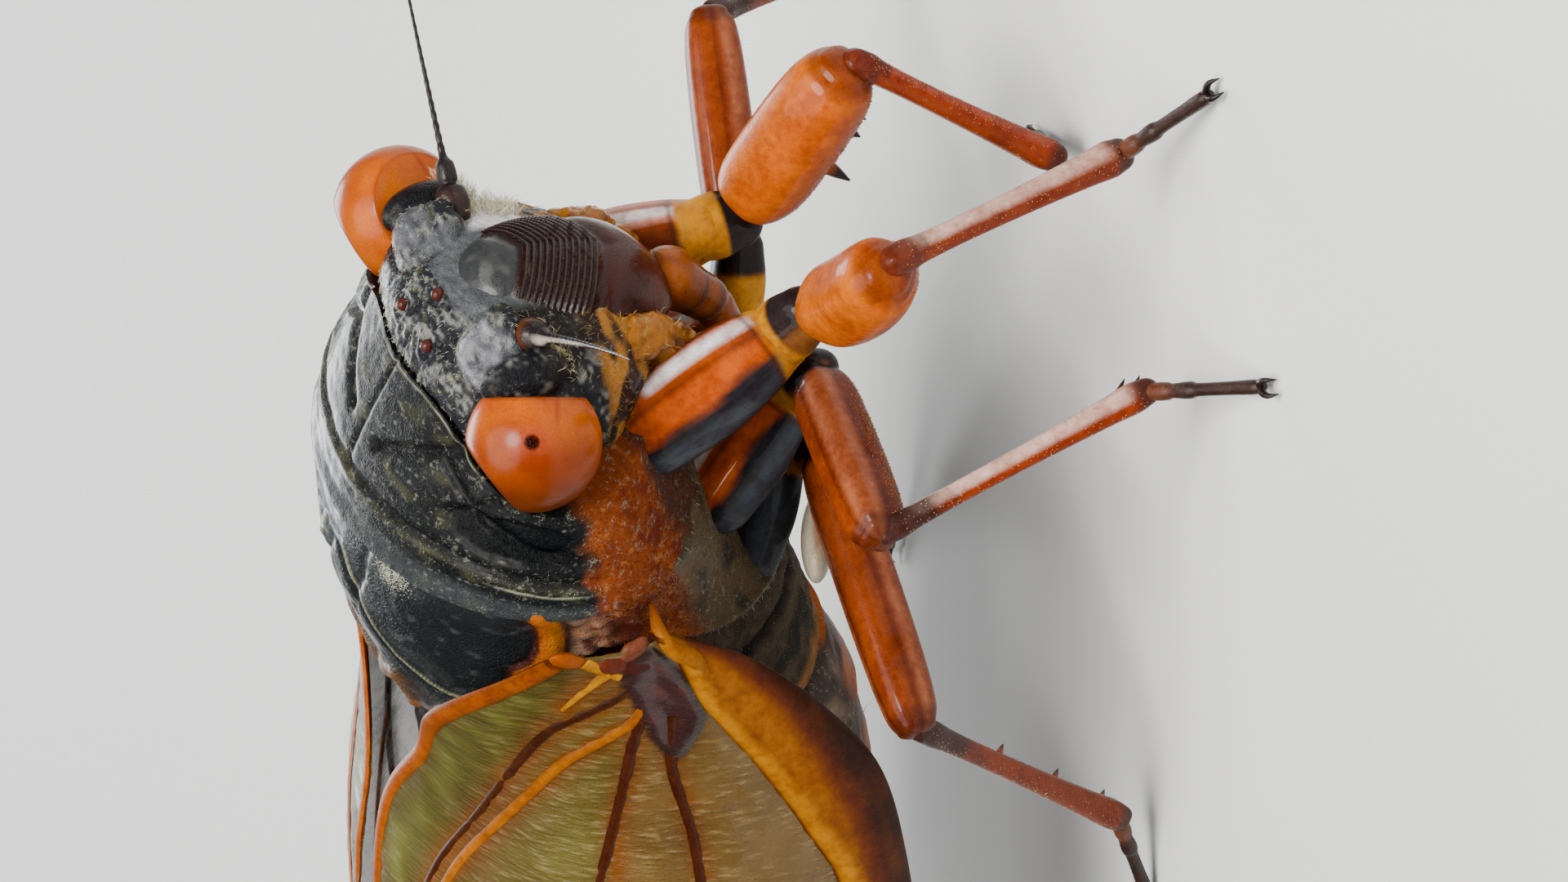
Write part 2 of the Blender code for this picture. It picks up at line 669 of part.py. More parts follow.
def flattened(line):
    """A line of (y, across) laid flat, in millimetres."""
    return [Vector((y, across * sheet_width(y))) for y, across in line]


def spaced(line, closed=False):
    """A flat line with a point about every WING_STEP."""
    points = []
    ends = line[1:] + line[:1] if closed else line[1:]
    for start, end in zip(line, ends):
        steps = max(1, round((end - start).length / WING_STEP))
        points += [start.lerp(end, k / steps) for k in range(steps)]
    return points if closed else points + [line[-1]]


def beside(line, distance):
    """The points of a flat line moved to one side of it."""
    moved = []
    for i, point in enumerate(line):
        way = line[min(i + 1, len(line) - 1)] - line[max(i - 1, 0)]
        moved.append(point + Vector((-way.y, way.x)).normalized() * distance)
    return moved


def distance_to(spot, lines):
    """From a flat spot to the nearest of the lines."""
    nearest = math.inf
    for line in lines:
        for start, end in zip(line, line[1:]):
            way = end - start
            share = max(0.0, min(1.0, (spot - start).dot(way) / way.length_squared))
            nearest = min(nearest, (spot - start - way * share).length)
    return nearest


def wing_face(outline, veins):
    """Flat points and triangles that fill an outline, with a ridge's height at each point."""
    edge = spaced(flattened(outline), closed=True)
    lines = [spaced(flattened(vein)) for vein in veins]
    points = list(edge)
    breaks = []
    for line in lines:
        for track in (line, beside(line, VEIN_HALF_WIDTH), beside(line, -VEIN_HALF_WIDTH)):
            kept = [spot for spot in track if inside(spot, edge)]
            breaks += [(len(points) + k, len(points) + k + 1) for k in range(len(kept) - 1)]
            points += kept
    low, high = min(spot.x for spot in edge), max(spot.x for spot in edge)
    top = max(spot.y for spot in edge)
    for row in range(int(top / WING_STEP) + 1):
        for column in range(int((high - low) / WING_STEP) + 1):
            spot = Vector((low + (column + 0.5 * (row % 2)) * WING_STEP, (row + 0.3) * WING_STEP))
            clear = min((spot - other).length for other in edge) > 0.6 * WING_STEP
            clear = clear and distance_to(spot, lines) > VEIN_HALF_WIDTH + 0.45 * WING_STEP
            if clear and inside(spot, edge):
                points.append(spot)
    spots, _, faces, _, _, _ = delaunay_2d_cdt(points, breaks, [list(range(len(edge)))], 1, 0.05)
    heights = [
        VEIN_HEIGHT * max(0.0, 1 - distance_to(spot, lines) / VEIN_HALF_WIDTH) for spot in spots
    ]
    return spots, faces, heights


def inside(spot, polygon):
    """True where a spot lies inside a polygon."""
    hit = False
    for i, start in enumerate(polygon):
        end = polygon[i - 1]
        if (start.y > spot.y) != (end.y > spot.y):
            if spot.x < (end.x - start.x) * (spot.y - start.y) / (end.y - start.y) + start.x:
                hit = not hit
    return hit


def build_wing(name, outline, veins, side, inset):
    """A wing as one closed plate on the sheet, set inward by the inset, with its veins raised."""
    spots, faces, heights = wing_face(outline, veins)
    bm = bmesh.new()
    outer, inner = [], []
    for spot, height in zip(spots, heights):
        across = spot.y / sheet_width(spot.x)
        middle = sheet_point(spot.x, across, side)
        normal = sheet_normal(spot.x, across, side)
        outer.append(bm.verts.new(middle + normal * (WING_THICKNESS / 2 + height - inset)))
        inner.append(bm.verts.new(middle - normal * (WING_THICKNESS / 2 + inset)))
    rims = {}
    for face in faces:
        bm.faces.new([outer[i] for i in face])
        bm.faces.new([inner[i] for i in reversed(face)])
        for start, end in zip(face, face[1:] + face[:1]):
            key = frozenset((start, end))
            rims[key] = None if key in rims else (start, end)
    for start, end in filter(None, rims.values()):
        bm.faces.new((outer[end], outer[start], inner[start], inner[end]))
    bmesh.ops.triangulate(bm, faces=bm.faces)
    add_object(name, bm, amber, parts)


for old in list(bpy.data.objects):
    bpy.data.objects.remove(old)

parts = bpy.data.collections.new("cicada")
guides = bpy.data.collections.new("cicada_cutters")
for group in (parts, guides):
    bpy.context.scene.collection.children.link(group)

black = material("black cuticle", (0.02, 0.02, 0.025), 0.35)
brown = material("dark brown cuticle", (0.07, 0.02, 0.015), 0.3)
orange = material("orange cuticle", (0.6, 0.17, 0.03), 0.35)
red = material("red eye", (0.6, 0.1, 0.02), 0.25)
amber = material("wing membrane", (0.6, 0.4, 0.15), 0.3)

trunk = build_trunk()
build_head_pieces()
fuse(trunk["head"], face_plates(), "MANIFOLD")
fuse(trunk["mesothorax"], scutellum_arms())
fuse(trunk["metathorax"], opercula())
eyes = [eye_shape(side, GAP) for side in (1, -1)]
carve(trunk["head"], [clypeus_shape(GAP), *eyes, antenna_socket(1), antenna_socket(-1),
                      coxa_socket("fore_right"), coxa_socket("fore_left")])
carve(trunk["pronotum"], [clypeus_shape(GAP), eye_shape(1, GAP), eye_shape(-1, GAP),
                          coxa_socket("fore_right"), coxa_socket("fore_left")])
shield = loft(TRUNK, shifted(collar_joint, -1.0), shifted(shield_joint, 1.6 * GAP), 12, clearance)
carve(trunk["metathorax"], [shield, coxa_socket("hind_right"), coxa_socket("hind_left")])
carve(trunk["mesothorax"], [coxa_socket("mid_right"), coxa_socket("mid_left"),
                            coxa_socket("hind_right"), coxa_socket("hind_left")])
for wing_side, wing_word in ((1, "left"), (-1, "right")):
    build_wing(f"forewing_{wing_word}", FOREWING, FOREWING_VEINS, wing_side, 0.0)
    build_wing(f"hindwing_{wing_word}", HINDWING, HINDWING_VEINS, wing_side, HINDWING_INSET)

body = bpy.data.objects.new("body_axis", None)
stance = bpy.data.objects.new("stance", None)
parts.objects.link(body)
parts.objects.link(stance)
body.location = (0, 0, STANCE_HEIGHT * MM)
body.rotation_euler = (-HEAD_UP, 0, 0)
body.parent = stance
for piece in list(parts.objects):
    if piece.type == "MESH":
        piece.parent = body

leg_pieces = set(parts.objects)
for leg_name, leg_joints in LEGS.items():
    build_leg(leg_name, leg_joints, LEG_RADII[leg_name.split("_")[0]])
for piece in set(parts.objects) - leg_pieces:
    piece.parent = stance

bpy.context.view_layer.update()
corners = [
    piece.matrix_world @ vert.co
    for piece in parts.objects
    if piece.type == "MESH"
    for vert in piece.data.vertices
]
stance.location.x = -(min(c.x for c in corners) + max(c.x for c in corners)) / 2
stance.location.y = -(min(c.y for c in corners) + max(c.y for c in corners)) / 2
bpy.context.view_layer.update()
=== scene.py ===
import math

import bpy
import numpy as np
from mathutils import Matrix, Vector


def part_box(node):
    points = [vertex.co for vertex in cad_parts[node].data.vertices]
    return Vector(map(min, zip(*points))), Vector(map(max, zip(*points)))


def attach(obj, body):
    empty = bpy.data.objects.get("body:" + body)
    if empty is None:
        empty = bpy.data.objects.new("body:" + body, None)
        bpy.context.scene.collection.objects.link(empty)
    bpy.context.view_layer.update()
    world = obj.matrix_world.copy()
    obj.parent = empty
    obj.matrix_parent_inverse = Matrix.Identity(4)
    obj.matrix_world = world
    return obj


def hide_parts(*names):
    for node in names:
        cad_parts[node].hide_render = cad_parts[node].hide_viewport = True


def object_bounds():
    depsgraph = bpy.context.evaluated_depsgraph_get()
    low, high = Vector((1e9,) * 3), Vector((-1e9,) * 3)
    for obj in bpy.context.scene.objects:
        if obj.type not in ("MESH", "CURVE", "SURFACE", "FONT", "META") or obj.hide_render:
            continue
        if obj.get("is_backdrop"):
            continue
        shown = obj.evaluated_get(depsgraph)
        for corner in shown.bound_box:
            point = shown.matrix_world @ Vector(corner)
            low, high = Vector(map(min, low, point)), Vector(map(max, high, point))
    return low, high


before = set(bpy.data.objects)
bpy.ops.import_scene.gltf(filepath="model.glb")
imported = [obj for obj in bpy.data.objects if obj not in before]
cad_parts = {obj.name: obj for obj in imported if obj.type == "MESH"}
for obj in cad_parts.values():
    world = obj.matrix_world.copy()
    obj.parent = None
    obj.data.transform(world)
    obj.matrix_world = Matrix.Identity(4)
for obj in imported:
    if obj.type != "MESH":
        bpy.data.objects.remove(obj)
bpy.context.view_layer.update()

mm = 0.001
turn = 2 * math.pi

# Body frame: millimetres from the front of the pronotum, x to the cicada's left, y to the rear
# and z up
stance = {"height": 11.47, "headUp": 3.1, "eyeRear": 1.349}
leftEye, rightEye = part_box("eye_left"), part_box("eye_right")
shiftX = (leftEye[0].x + leftEye[1].x + rightEye[0].x + rightEye[1].x) / 4
shiftY = leftEye[1].y - stance["eyeRear"] * mm
bodyToFloor = (
    Matrix.Translation((0, 0, stance["height"]))
    @ Matrix.Rotation(-math.radians(stance["headUp"]), 4, "X")
)
floorToModel = Matrix.Translation((shiftX, shiftY, 0)) @ Matrix.Scale(mm, 4)
bodyToModel = floorToModel @ bodyToFloor
floorToBody = bodyToFloor.inverted()


# Numbers along the body

def smoothAt(y, stations):
    # Smooth curves through the stations, one for each of their columns after the first
    table = np.array(stations, float)
    ys = table[:, 0]
    y = np.clip(np.asarray(y, float), ys[0], ys[-1])
    i = np.clip(np.searchsorted(ys, y, side="right") - 1, 0, len(ys) - 2)
    before, start = table[np.maximum(i - 1, 0)], table[i]
    end, after = table[i + 1], table[np.minimum(i + 2, len(ys) - 1)]
    span = (end - start)[:, :1]
    t = (y - start[:, 0])[:, None] / span
    slopeIn = (end - before) / (end - before)[:, :1] * span
    slopeOut = (after - start) / (after - start)[:, :1] * span
    values = (
        (2 * t**3 - 3 * t**2 + 1) * start
        + (t**3 - 2 * t**2 + t) * slopeIn
        + (3 * t**2 - 2 * t**3) * end
        + (t**3 - t**2) * slopeOut
    )
    return values[:, 1:].T


def sectionPoint(stations, y, angle):
    halfWidth, level, top, bottom = smoothAt(y, stations)
    rise = np.where(np.cos(angle) > 0, top - level, level - bottom)
    return np.stack((halfWidth * np.sin(angle), y, level + rise * np.cos(angle)), axis=1)


def ease(value, low, high):
    t = np.clip((value - low) / (high - low), 0, 1)
    return t * t * (3 - 2 * t)


def between(value, low, high, soft):
    return ease(value, low - soft, low + soft) * (1 - ease(value, high - soft, high + soft))


def bell(distance, width):
    return np.exp(-((distance / width) ** 2))


def lineDistance(u, v, line):
    nearest = np.full(len(u), 1e9)
    for (u0, v0), (u1, v1) in zip(line, line[1:]):
        du, dv = u1 - u0, v1 - v0
        share = np.clip(((u - u0) * du + (v - v0) * dv) / (du * du + dv * dv), 0, 1)
        nearest = np.minimum(nearest, np.hypot(u - u0 - share * du, v - v0 - share * dv))
    return nearest


def degreesOf(angle):
    return np.abs(np.degrees(angle))


def arcDistance(y, degrees, line, girth):
    # How far from a line of (y, degrees from the ridge), on a body of that radius in mm
    flat = [(a, math.radians(b) * girth) for a, b in line]
    return lineDistance(y, np.radians(degrees) * girth, flat)


def wobble(points, scale, seed, waves=10):
    # A smooth random value at each point, mostly from -1 to 1, in blotches of about that scale
    dice = np.random.default_rng(seed)
    ways = dice.normal(size=(waves, points.shape[1]))
    ways *= (dice.uniform(0.5, 1.6, waves) / np.linalg.norm(ways, axis=1))[:, None]
    phases = dice.uniform(0, turn, waves)
    return np.sin(points @ ways.T * (turn / scale) + phases).mean(axis=1) * 2


def unit(vectors):
    return vectors / np.maximum(np.linalg.norm(vectors, axis=1, keepdims=True), 1e-9)


def direction(vector):
    return np.array(vector, float) / np.linalg.norm(vector)


def onSide(vector, side):
    # A direction given for the right side, turned over for the left one
    return vector * (1 if side < 0 else np.array((-1, 1, 1)))


def shade(red, green, blue):
    flat = [channel / 255 for channel in (red, green, blue)]
    return [c / 12.92 if c <= 0.04045 else ((c + 0.055) / 1.055) ** 2.4 for c in flat]


# Meshes

def read(items, name, width=1, kind=float):
    flat = np.empty(len(items) * width, kind)
    items.foreach_get(name, flat)
    return flat.reshape(-1, width) if width > 1 else flat


def coordinates(piece):
    return read(piece.data.vertices, "co", 3)


def putCoordinates(piece, points):
    piece.data.vertices.foreach_set("co", np.ascontiguousarray(points, float).ravel())
    piece.data.update()


def onlySelect(*pieces):
    bpy.ops.object.select_all(action="DESELECT")
    for piece in pieces:
        piece.select_set(True)
    bpy.context.view_layer.objects.active = pieces[0]


def turnOutward(piece):
    onlySelect(piece)
    bpy.ops.object.mode_set(mode="EDIT")
    bpy.ops.mesh.select_all(action="SELECT")
    bpy.ops.mesh.normals_make_consistent(inside=False)
    bpy.ops.object.mode_set(mode="OBJECT")


def named(name):
    made = bpy.context.active_object
    made.name = made.data.name = name
    return made


def joined(name, pieces):
    onlySelect(*pieces)
    bpy.ops.object.join()
    return named(name)


def applied(piece, kind, **settings):
    onlySelect(piece)
    modifier = piece.modifiers.new(kind.lower(), kind)
    for key, value in settings.items():
        setattr(modifier, key, value)
    bpy.ops.object.modifier_apply(modifier=modifier.name)
    return piece


def ball(name, rings, sides, place):
    # A closed ball whose points are placed by their ring, from pole to pole, and their angle
    bpy.ops.object.select_all(action="DESELECT")
    bpy.ops.mesh.primitive_uv_sphere_add(segments=sides, ring_count=rings + 1, radius=1)
    made = named(name)
    points = coordinates(made)
    ring = np.rint(np.arccos(np.clip(points[:, 2], -1, 1)) / math.pi * (rings + 1)).astype(int)
    angle = np.arctan2(points[:, 1], points[:, 0])
    putCoordinates(made, place(ring, angle))
    return made, ring, angle


class Skin:
    # A piece with what is known at each point: how far along it, its angle and its unwrap
    def __init__(self, piece, along, angle, tile):
        self.piece, self.along, self.angle = piece, along, angle
        across = (angle / turn + 0.5) % 1.0
        share = (along - along.min()) / max(np.ptp(along), 1e-6)
        u0, v0, width, height = tile
        self.unwrap = np.stack((u0 + across * width, v0 + share * height), axis=1)
        self.points = coordinates(piece)


tuck = {"run": 0.1, "depth": 0.2}


def loft(name, stations, front, rear, rings, sides, relief, tile, tuckFront=0.0, tuckRear=0.0):
    # Tucks run the skin on beyond its joint, a little smaller, under its neighbour
    marks = {}

    def place(ring, angle):
        t = np.clip((ring - 1) / (rings - 1), 0, 1)
        first, last = front(angle) - tuckFront, rear(angle) + tuckRear
        y = first * (1 - t) + last * t
        under = ease(front(angle) - y, 0, tuck["run"]) * (tuckFront > 0)
        under = under + ease(y - rear(angle), 0, tuck["run"]) * (tuckRear > 0)
        out = np.stack((np.sin(angle), np.zeros(len(angle)), np.cos(angle)), axis=1)
        points = sectionPoint(stations, y, angle)
        points += out * (relief(y, angle) * (1 - under) - tuck["depth"] * under)[:, None]
        for pole, rim in ((0, 1), (rings + 1, rings)):
            points[ring == pole] = points[ring == rim].mean(axis=0)
        marks["y"] = y
        return points

    made, ring, angle = ball(name, rings, sides, place)
    return Skin(made, marks["y"], angle, tile)


def tube(name, path, radii, sides, steps, up=(0, 0, 1), shape=None, tile=(0, 0, 1, 1),
         caps=(1, 1)):
    # Caps give the length of each rounded end, as a share of the radius there
    path = np.array([tuple(p) for p in path], float)
    lengths = np.concatenate(([0], np.cumsum(np.linalg.norm(np.diff(path, axis=0), axis=1))))
    total = lengths[-1]
    stations = [(s, *p, r) for s, p, r in zip(lengths, path, radii)]
    first, last = caps[0] * radii[0], caps[1] * radii[-1]
    lie = np.linspace(0, math.pi / 2, 7)  # six rings to a cap
    along = np.concatenate((first * (1 - np.cos(lie[1:])) - first,
                            np.linspace(0, total, steps)[1:-1],
                            total + last * np.sin(lie[:-1])))
    x, y, z, radius = smoothAt(along, stations)
    centres = np.stack((x, y, z), axis=1)
    ways = np.gradient(centres, axis=0)
    ways[along <= 0] = path[1] - path[0]
    ways[along >= total] = path[-1] - path[-2]
    ways = unit(ways)
    over = np.maximum(0, np.maximum(-along, along - total))
    centres += ways * np.where(along < 0, along, np.where(along > total, along - total, 0))[:, None]
    cap = np.where(along < 0, first, last)
    radius = radius * np.sqrt(np.clip(1 - (over / cap) ** 2, 0.0, 1))
    upward = np.array(up, float)
    ups = unit(upward - ways * (ways @ upward)[:, None])
    acrosses = np.cross(ways, ups)
    rings = len(along)
    marks = {}

    def place(ring, angle):
        i = np.clip(ring - 1, 0, rings - 1)
        out = ups[i] * np.cos(angle)[:, None] + acrosses[i] * np.sin(angle)[:, None]
        share = np.clip(along[i] / total, 0, 1)
        width = radius[i] * (shape(share, angle) if shape else 1)
        front, rear = ring == 0, ring == rings + 1
        width = np.where(front | rear, 0, width)
        marks["out"], marks["share"] = out, share
        point = 0.02 * (last * rear - first * front)  # the poles stand a little beyond the caps
        return centres[i] + out * width[:, None] + ways[i] * point[:, None]

    made, ring, angle = ball(name, rings, sides, place)
    skin = Skin(made, marks["share"], angle, tile)
    skin.out = marks["out"]
    return skin


def ellipsoid(name, centre, radii, rings, sides, tilt=Matrix.Identity(3), relief=None):
    spin = np.array(tilt)

    def place(ring, angle):
        lie = math.pi * ring / (rings + 1)
        local = np.stack((np.sin(lie) * np.cos(angle), np.sin(lie) * np.sin(angle), np.cos(lie)),
                         axis=1)
        points = local * np.array(radii)
        if relief:
            points = points + local * relief(points, local)[:, None]
        return points @ spin.T + np.array(centre)

    return ball(name, rings, sides, place)[0]


class Paint:
    # Colour and roughness at each point, kept as the attribute that the finishes read
    def __init__(self, points, colour, roughness):
        self.points = points
        self.layers = np.tile((*shade(*colour), roughness), (len(points), 1))

    def lay(self, mask, colour, roughness):
        share = np.clip(mask, 0, 1)[:, None]
        self.layers = self.layers * (1 - share) + np.array((*shade(*colour), roughness)) * share

    def blot(self, scale, seed, low, high, mask, colour, roughness):
        # Blotches of about one size over what the mask takes in
        self.lay(ease(wobble(self.points, scale, seed), low, high) * mask, colour, roughness)

    def keep(self, piece):
        attribute = piece.data.attributes.new("tint", "FLOAT_COLOR", "POINT")
        attribute.data.foreach_set("color", self.layers.astype(np.float32).ravel())
        return piece


class Wire:
    # A socket whose sums are Math nodes
    def __init__(self, finish, socket):
        self.finish, self.socket = finish, socket

    def maths(self, operation, first, second):
        return self.finish.node("ShaderNodeMath", {"operation": operation}, {0: first, 1: second})

    def __add__(self, other):
        return self.maths("ADD", self, other)

    def __sub__(self, other):
        return self.maths("SUBTRACT", self, other)

    def __rsub__(self, other):
        return self.maths("SUBTRACT", other, self)

    def __mul__(self, other):
        return self.maths("MULTIPLY", self, other)

    __radd__ = __add__
    __rmul__ = __mul__


class Finish:
    def __init__(self, name, **fixed):
        self.material = bpy.data.materials.new(name)
        self.material.use_nodes = True
        self.tree = self.material.node_tree
        self.shader = self.tree.nodes["Principled BSDF"]
        for socket, value in fixed.items():
            self.shader.inputs[socket.replace("_", " ")].default_value = value
        metres = self.node("ShaderNodeTexCoord", output="Object")
        self.place = self.node("ShaderNodeVectorMath", {"operation": "SCALE"},
                               {0: metres, "Scale": 1000.0})

    def node(self, kind, settings=None, inputs=None, output=0):
        made = self.tree.nodes.new(kind)
        for key, value in (settings or {}).items():
            setattr(made, key, value)
        for key, value in (inputs or {}).items():
            if isinstance(value, Wire):
                self.tree.links.new(value.socket, made.inputs[key])
            else:
                made.inputs[key].default_value = value
        return Wire(self, made.outputs[output])

    def noise(self, scale, detail=2.0, rough=0.5, where=None):
        return self.node("ShaderNodeTexNoise", None,
                         {"Vector": where or self.place, "Scale": scale, "Detail": detail,
                          "Roughness": rough})

    def cells(self, scale):
        return self.node("ShaderNodeTexVoronoi", None, {"Vector": self.place, "Scale": scale},
                         "Distance")

    def stepped(self, value, low, high):
        return self.node("ShaderNodeMapRange", {"interpolation_type": "SMOOTHSTEP"},
                         {"Value": value, "From Min": low, "From Max": high})

    def mixed(self, factor, first, second, way="MIX"):
        return self.node("ShaderNodeMix", {"data_type": "RGBA", "blend_type": way},
                         {0: factor, 6: first, 7: second}, 2)

    def tint(self, output="Color"):
        return self.node("ShaderNodeAttribute", {"attribute_name": "tint"}, None, output)

    def bump(self, height, depth):
        return self.node("ShaderNodeBump", None, {"Height": height, "Distance": depth})

    def feed(self, **wires):
        for socket, wire in wires.items():
            self.tree.links.new(wire.socket, self.shader.inputs[socket.replace("_", " ")])
        return self.material


def linear(*display):
    return (*shade(*display), 1.0)


def darkened(finish, amount, colour):
    # The painted colour, partly multiplied by another
    return finish.mixed(amount, finish.tint(), (*colour, 1), "MULTIPLY")


def cuticle(name, dust, dustColour, pits, depth, coat, **fixed):
    finish = Finish(name, **fixed)
    broad, fine = finish.noise(1.1, 3), finish.noise(9.0, 3, 0.6)
    grain = finish.noise(34.0, 2, 0.6)
    worn = finish.stepped(broad * 0.6 + fine * 0.55, 0.35, 0.8)
    dark = darkened(finish, 0.75, (0.55, 0.55, 0.58))
    base = finish.mixed(worn, dark, finish.tint())
    clots = finish.noise(6.5, 4, 0.7)
    speck = finish.stepped(clots * 0.75 + grain * 0.35, 0.61, 0.68) * dust
    speck = speck * finish.stepped(finish.tint("Alpha"), 0.24, 0.5)
    colour = finish.mixed(speck, base, linear(*dustColour))
    pitting = finish.stepped(finish.cells(pits), 0.05, 0.5)
    height = pitting * 0.4 + grain * 0.5 + clots * 1.2
    rough = finish.tint("Alpha") + (fine - 0.5) * 0.22 + speck * 0.25
    edge = finish.node("ShaderNodeLayerWeight", None, {"Blend": 0.5}, "Facing")
    sheen = finish.stepped(edge, 0.5, 0.85) * 0.45 + coat
    return finish.feed(Base_Color=colour, Roughness=rough, Coat_Weight=sheen,
                       Normal=finish.bump(height, depth))


def furry(name, **fixed):
    finish = Finish(name, **fixed)
    clumps, fibres = finish.noise(3.0, 4, 0.65), finish.noise(22.0, 3, 0.7)
    shadow = finish.stepped(clumps * 0.6 + fibres * 0.5, 0.38, 0.7)
    dark = darkened(finish, 0.9, (0.4, 0.36, 0.36))
    colour = finish.mixed(shadow, dark, finish.tint())
    height = clumps * 1.4 + fibres
    rough = finish.tint("Alpha") + (fibres - 0.5) * 0.2
    return finish.feed(Base_Color=colour, Roughness=rough,
                       Normal=finish.bump(height, 0.00009))


def limbFinish(name, **fixed):
    finish = Finish(name, **fixed)
    cloud, grain = finish.noise(1.6, 3, 0.55), finish.noise(26.0, 3, 0.6)
    streak = finish.noise(6.0, 3, 0.6)
    deep = darkened(finish, 0.8, (0.5, 0.32, 0.22))
    colour = finish.mixed(finish.stepped(cloud * 0.6 + streak * 0.5, 0.35, 0.72), deep,
                          finish.tint())
    dull = finish.stepped(streak * 0.4 + grain * 0.6, 0.55, 0.72)
    colour = finish.mixed(dull * 0.05, colour, linear(190, 130, 60))
    rough = finish.tint("Alpha") + dull * 0.18 + (cloud - 0.5) * 0.15
    height = grain * 0.8 + streak * 0.5
    return finish.feed(Base_Color=colour, Roughness=rough, Normal=finish.bump(height, 0.00002))


def eyeFinish():
    finish = Finish("cicada eye", Coat_Weight=0.25, Coat_Roughness=0.2, Specular_IOR_Level=0.03)
    facets = finish.cells(26.0)
    cloud = finish.noise(1.4, 3)
    deep = darkened(finish, 0.7, (0.6, 0.4, 0.3))
    glow = finish.mixed(finish.stepped(cloud, 0.3, 0.65), deep, finish.tint())
    colour = finish.mixed(finish.stepped(facets, 0.35, 0.7) * 0.25, glow, linear(110, 34, 2))
    rough = finish.tint("Alpha") + (cloud - 0.5) * 0.1
    return finish.feed(Base_Color=colour, Roughness=rough,
                       Normal=finish.bump(1 - facets, 0.000004))


def membraneFinish():
    finish = Finish("wing membrane", Coat_Weight=0.25, Coat_Roughness=0.12, Specular_IOR_Level=0.2)
    lie = finish.node("ShaderNodeAttribute", {"attribute_name": "lie"}, None, "Vector")
    squeezed = finish.node("ShaderNodeMapping", None, {"Vector": lie, "Scale": (9.0, 1.7, 1.0)})
    creases = finish.noise(1.0, 3, 0.65, squeezed)
    broad = finish.noise(0.5, 2)
    fine = finish.noise(14.0, 2)
    plain = 1 - finish.stepped(finish.tint("Alpha"), 0.76, 0.86)
    crease = finish.stepped(creases, 0.48, 0.78) * plain
    deep = darkened(finish, 0.6, (0.62, 0.55, 0.4))
    base = finish.mixed(finish.stepped(broad, 0.35, 0.65), deep, finish.tint())
    colour = finish.mixed(crease * 0.3, base, linear(180, 160, 110))
    rough = 0.22 + fine * 0.2 + crease * 0.15
    alpha = finish.tint("Alpha") + crease * 0.14 + (broad - 0.5) * 0.2
    return finish.feed(Base_Color=colour, Roughness=rough, Alpha=alpha,
                       Normal=finish.bump(creases * 1.2 + fine * 0.15, 0.00006))


def coatFinish():
    finish = Finish("cicada down", Specular_IOR_Level=0.03)
    strand = finish.noise(30.0, 2)
    pale = darkened(finish, 0.5, (1.0, 0.93, 0.8))
    return finish.feed(Base_Color=finish.mixed(strand, finish.tint(), pale),
                       Roughness=0.4 + strand * 0.2)


def floorFinish():
    finish = Finish("pale floor", Specular_IOR_Level=0.1)
    cloud = finish.noise(0.02, 3)
    return finish.feed(Base_Color=finish.mixed(cloud, linear(206, 208, 206), linear(214, 215, 213)),
                       Roughness=0.75 + cloud * 0.1)


finishes = {
    "body": cuticle("dark cuticle", 0.5, (128, 130, 116), 15.0, 0.00004, 0.04,
                    Coat_Roughness=0.2, Specular_IOR_Level=0.06),
    "face": cuticle("face cuticle", 0.2, (150, 140, 120), 20.0, 0.000012, 0.12,
                    Coat_Roughness=0.08, Specular_IOR_Level=0.12),
    "side": furry("furred side", Specular_IOR_Level=0.05),
    "limb": limbFinish("orange cuticle", Coat_Weight=0.14, Coat_Roughness=0.06,
                       Specular_IOR_Level=0.05),
    "foot": limbFinish("dark foot", Coat_Weight=0.1, Coat_Roughness=0.2, Specular_IOR_Level=0.2),
    "eye": eyeFinish(),
    "membrane": membraneFinish(),
    "vein": limbFinish("wing vein", Coat_Weight=0.05, Coat_Roughness=0.15, Specular_IOR_Level=0.05),
    "coat": coatFinish(),
}
print("finishes made")

sharpAngle = math.radians(50)


def settle(piece, finish, nodes=()):
    # Moves a piece to its place on the model, gives it its look and hides the parts it stands for
    piece.data.transform(bodyToModel)
    turnOutward(piece)
    piece.data.materials.clear()
    piece.data.materials.append(finishes[finish])
    onlySelect(piece)
    bpy.ops.object.shade_smooth_by_angle(angle=sharpAngle)
    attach(piece, "root")
    if nodes:
        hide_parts(*nodes)


hair = {
    "patch": 0.003,  # across, on the bake map
    "rings": ((-0.04, 1.0), (0.5, 0.75)),  # share of the length, share of the width
    "bow": 0.12, "droop": 0.05,  # both as a share of the length
    "length": (0.55, 1.2), "width": (0.7, 1.2), "glow": (0.75, 1.15),  # ranges round the mean
    "stray": 0.8,  # from the middle of the face, in face widths
}


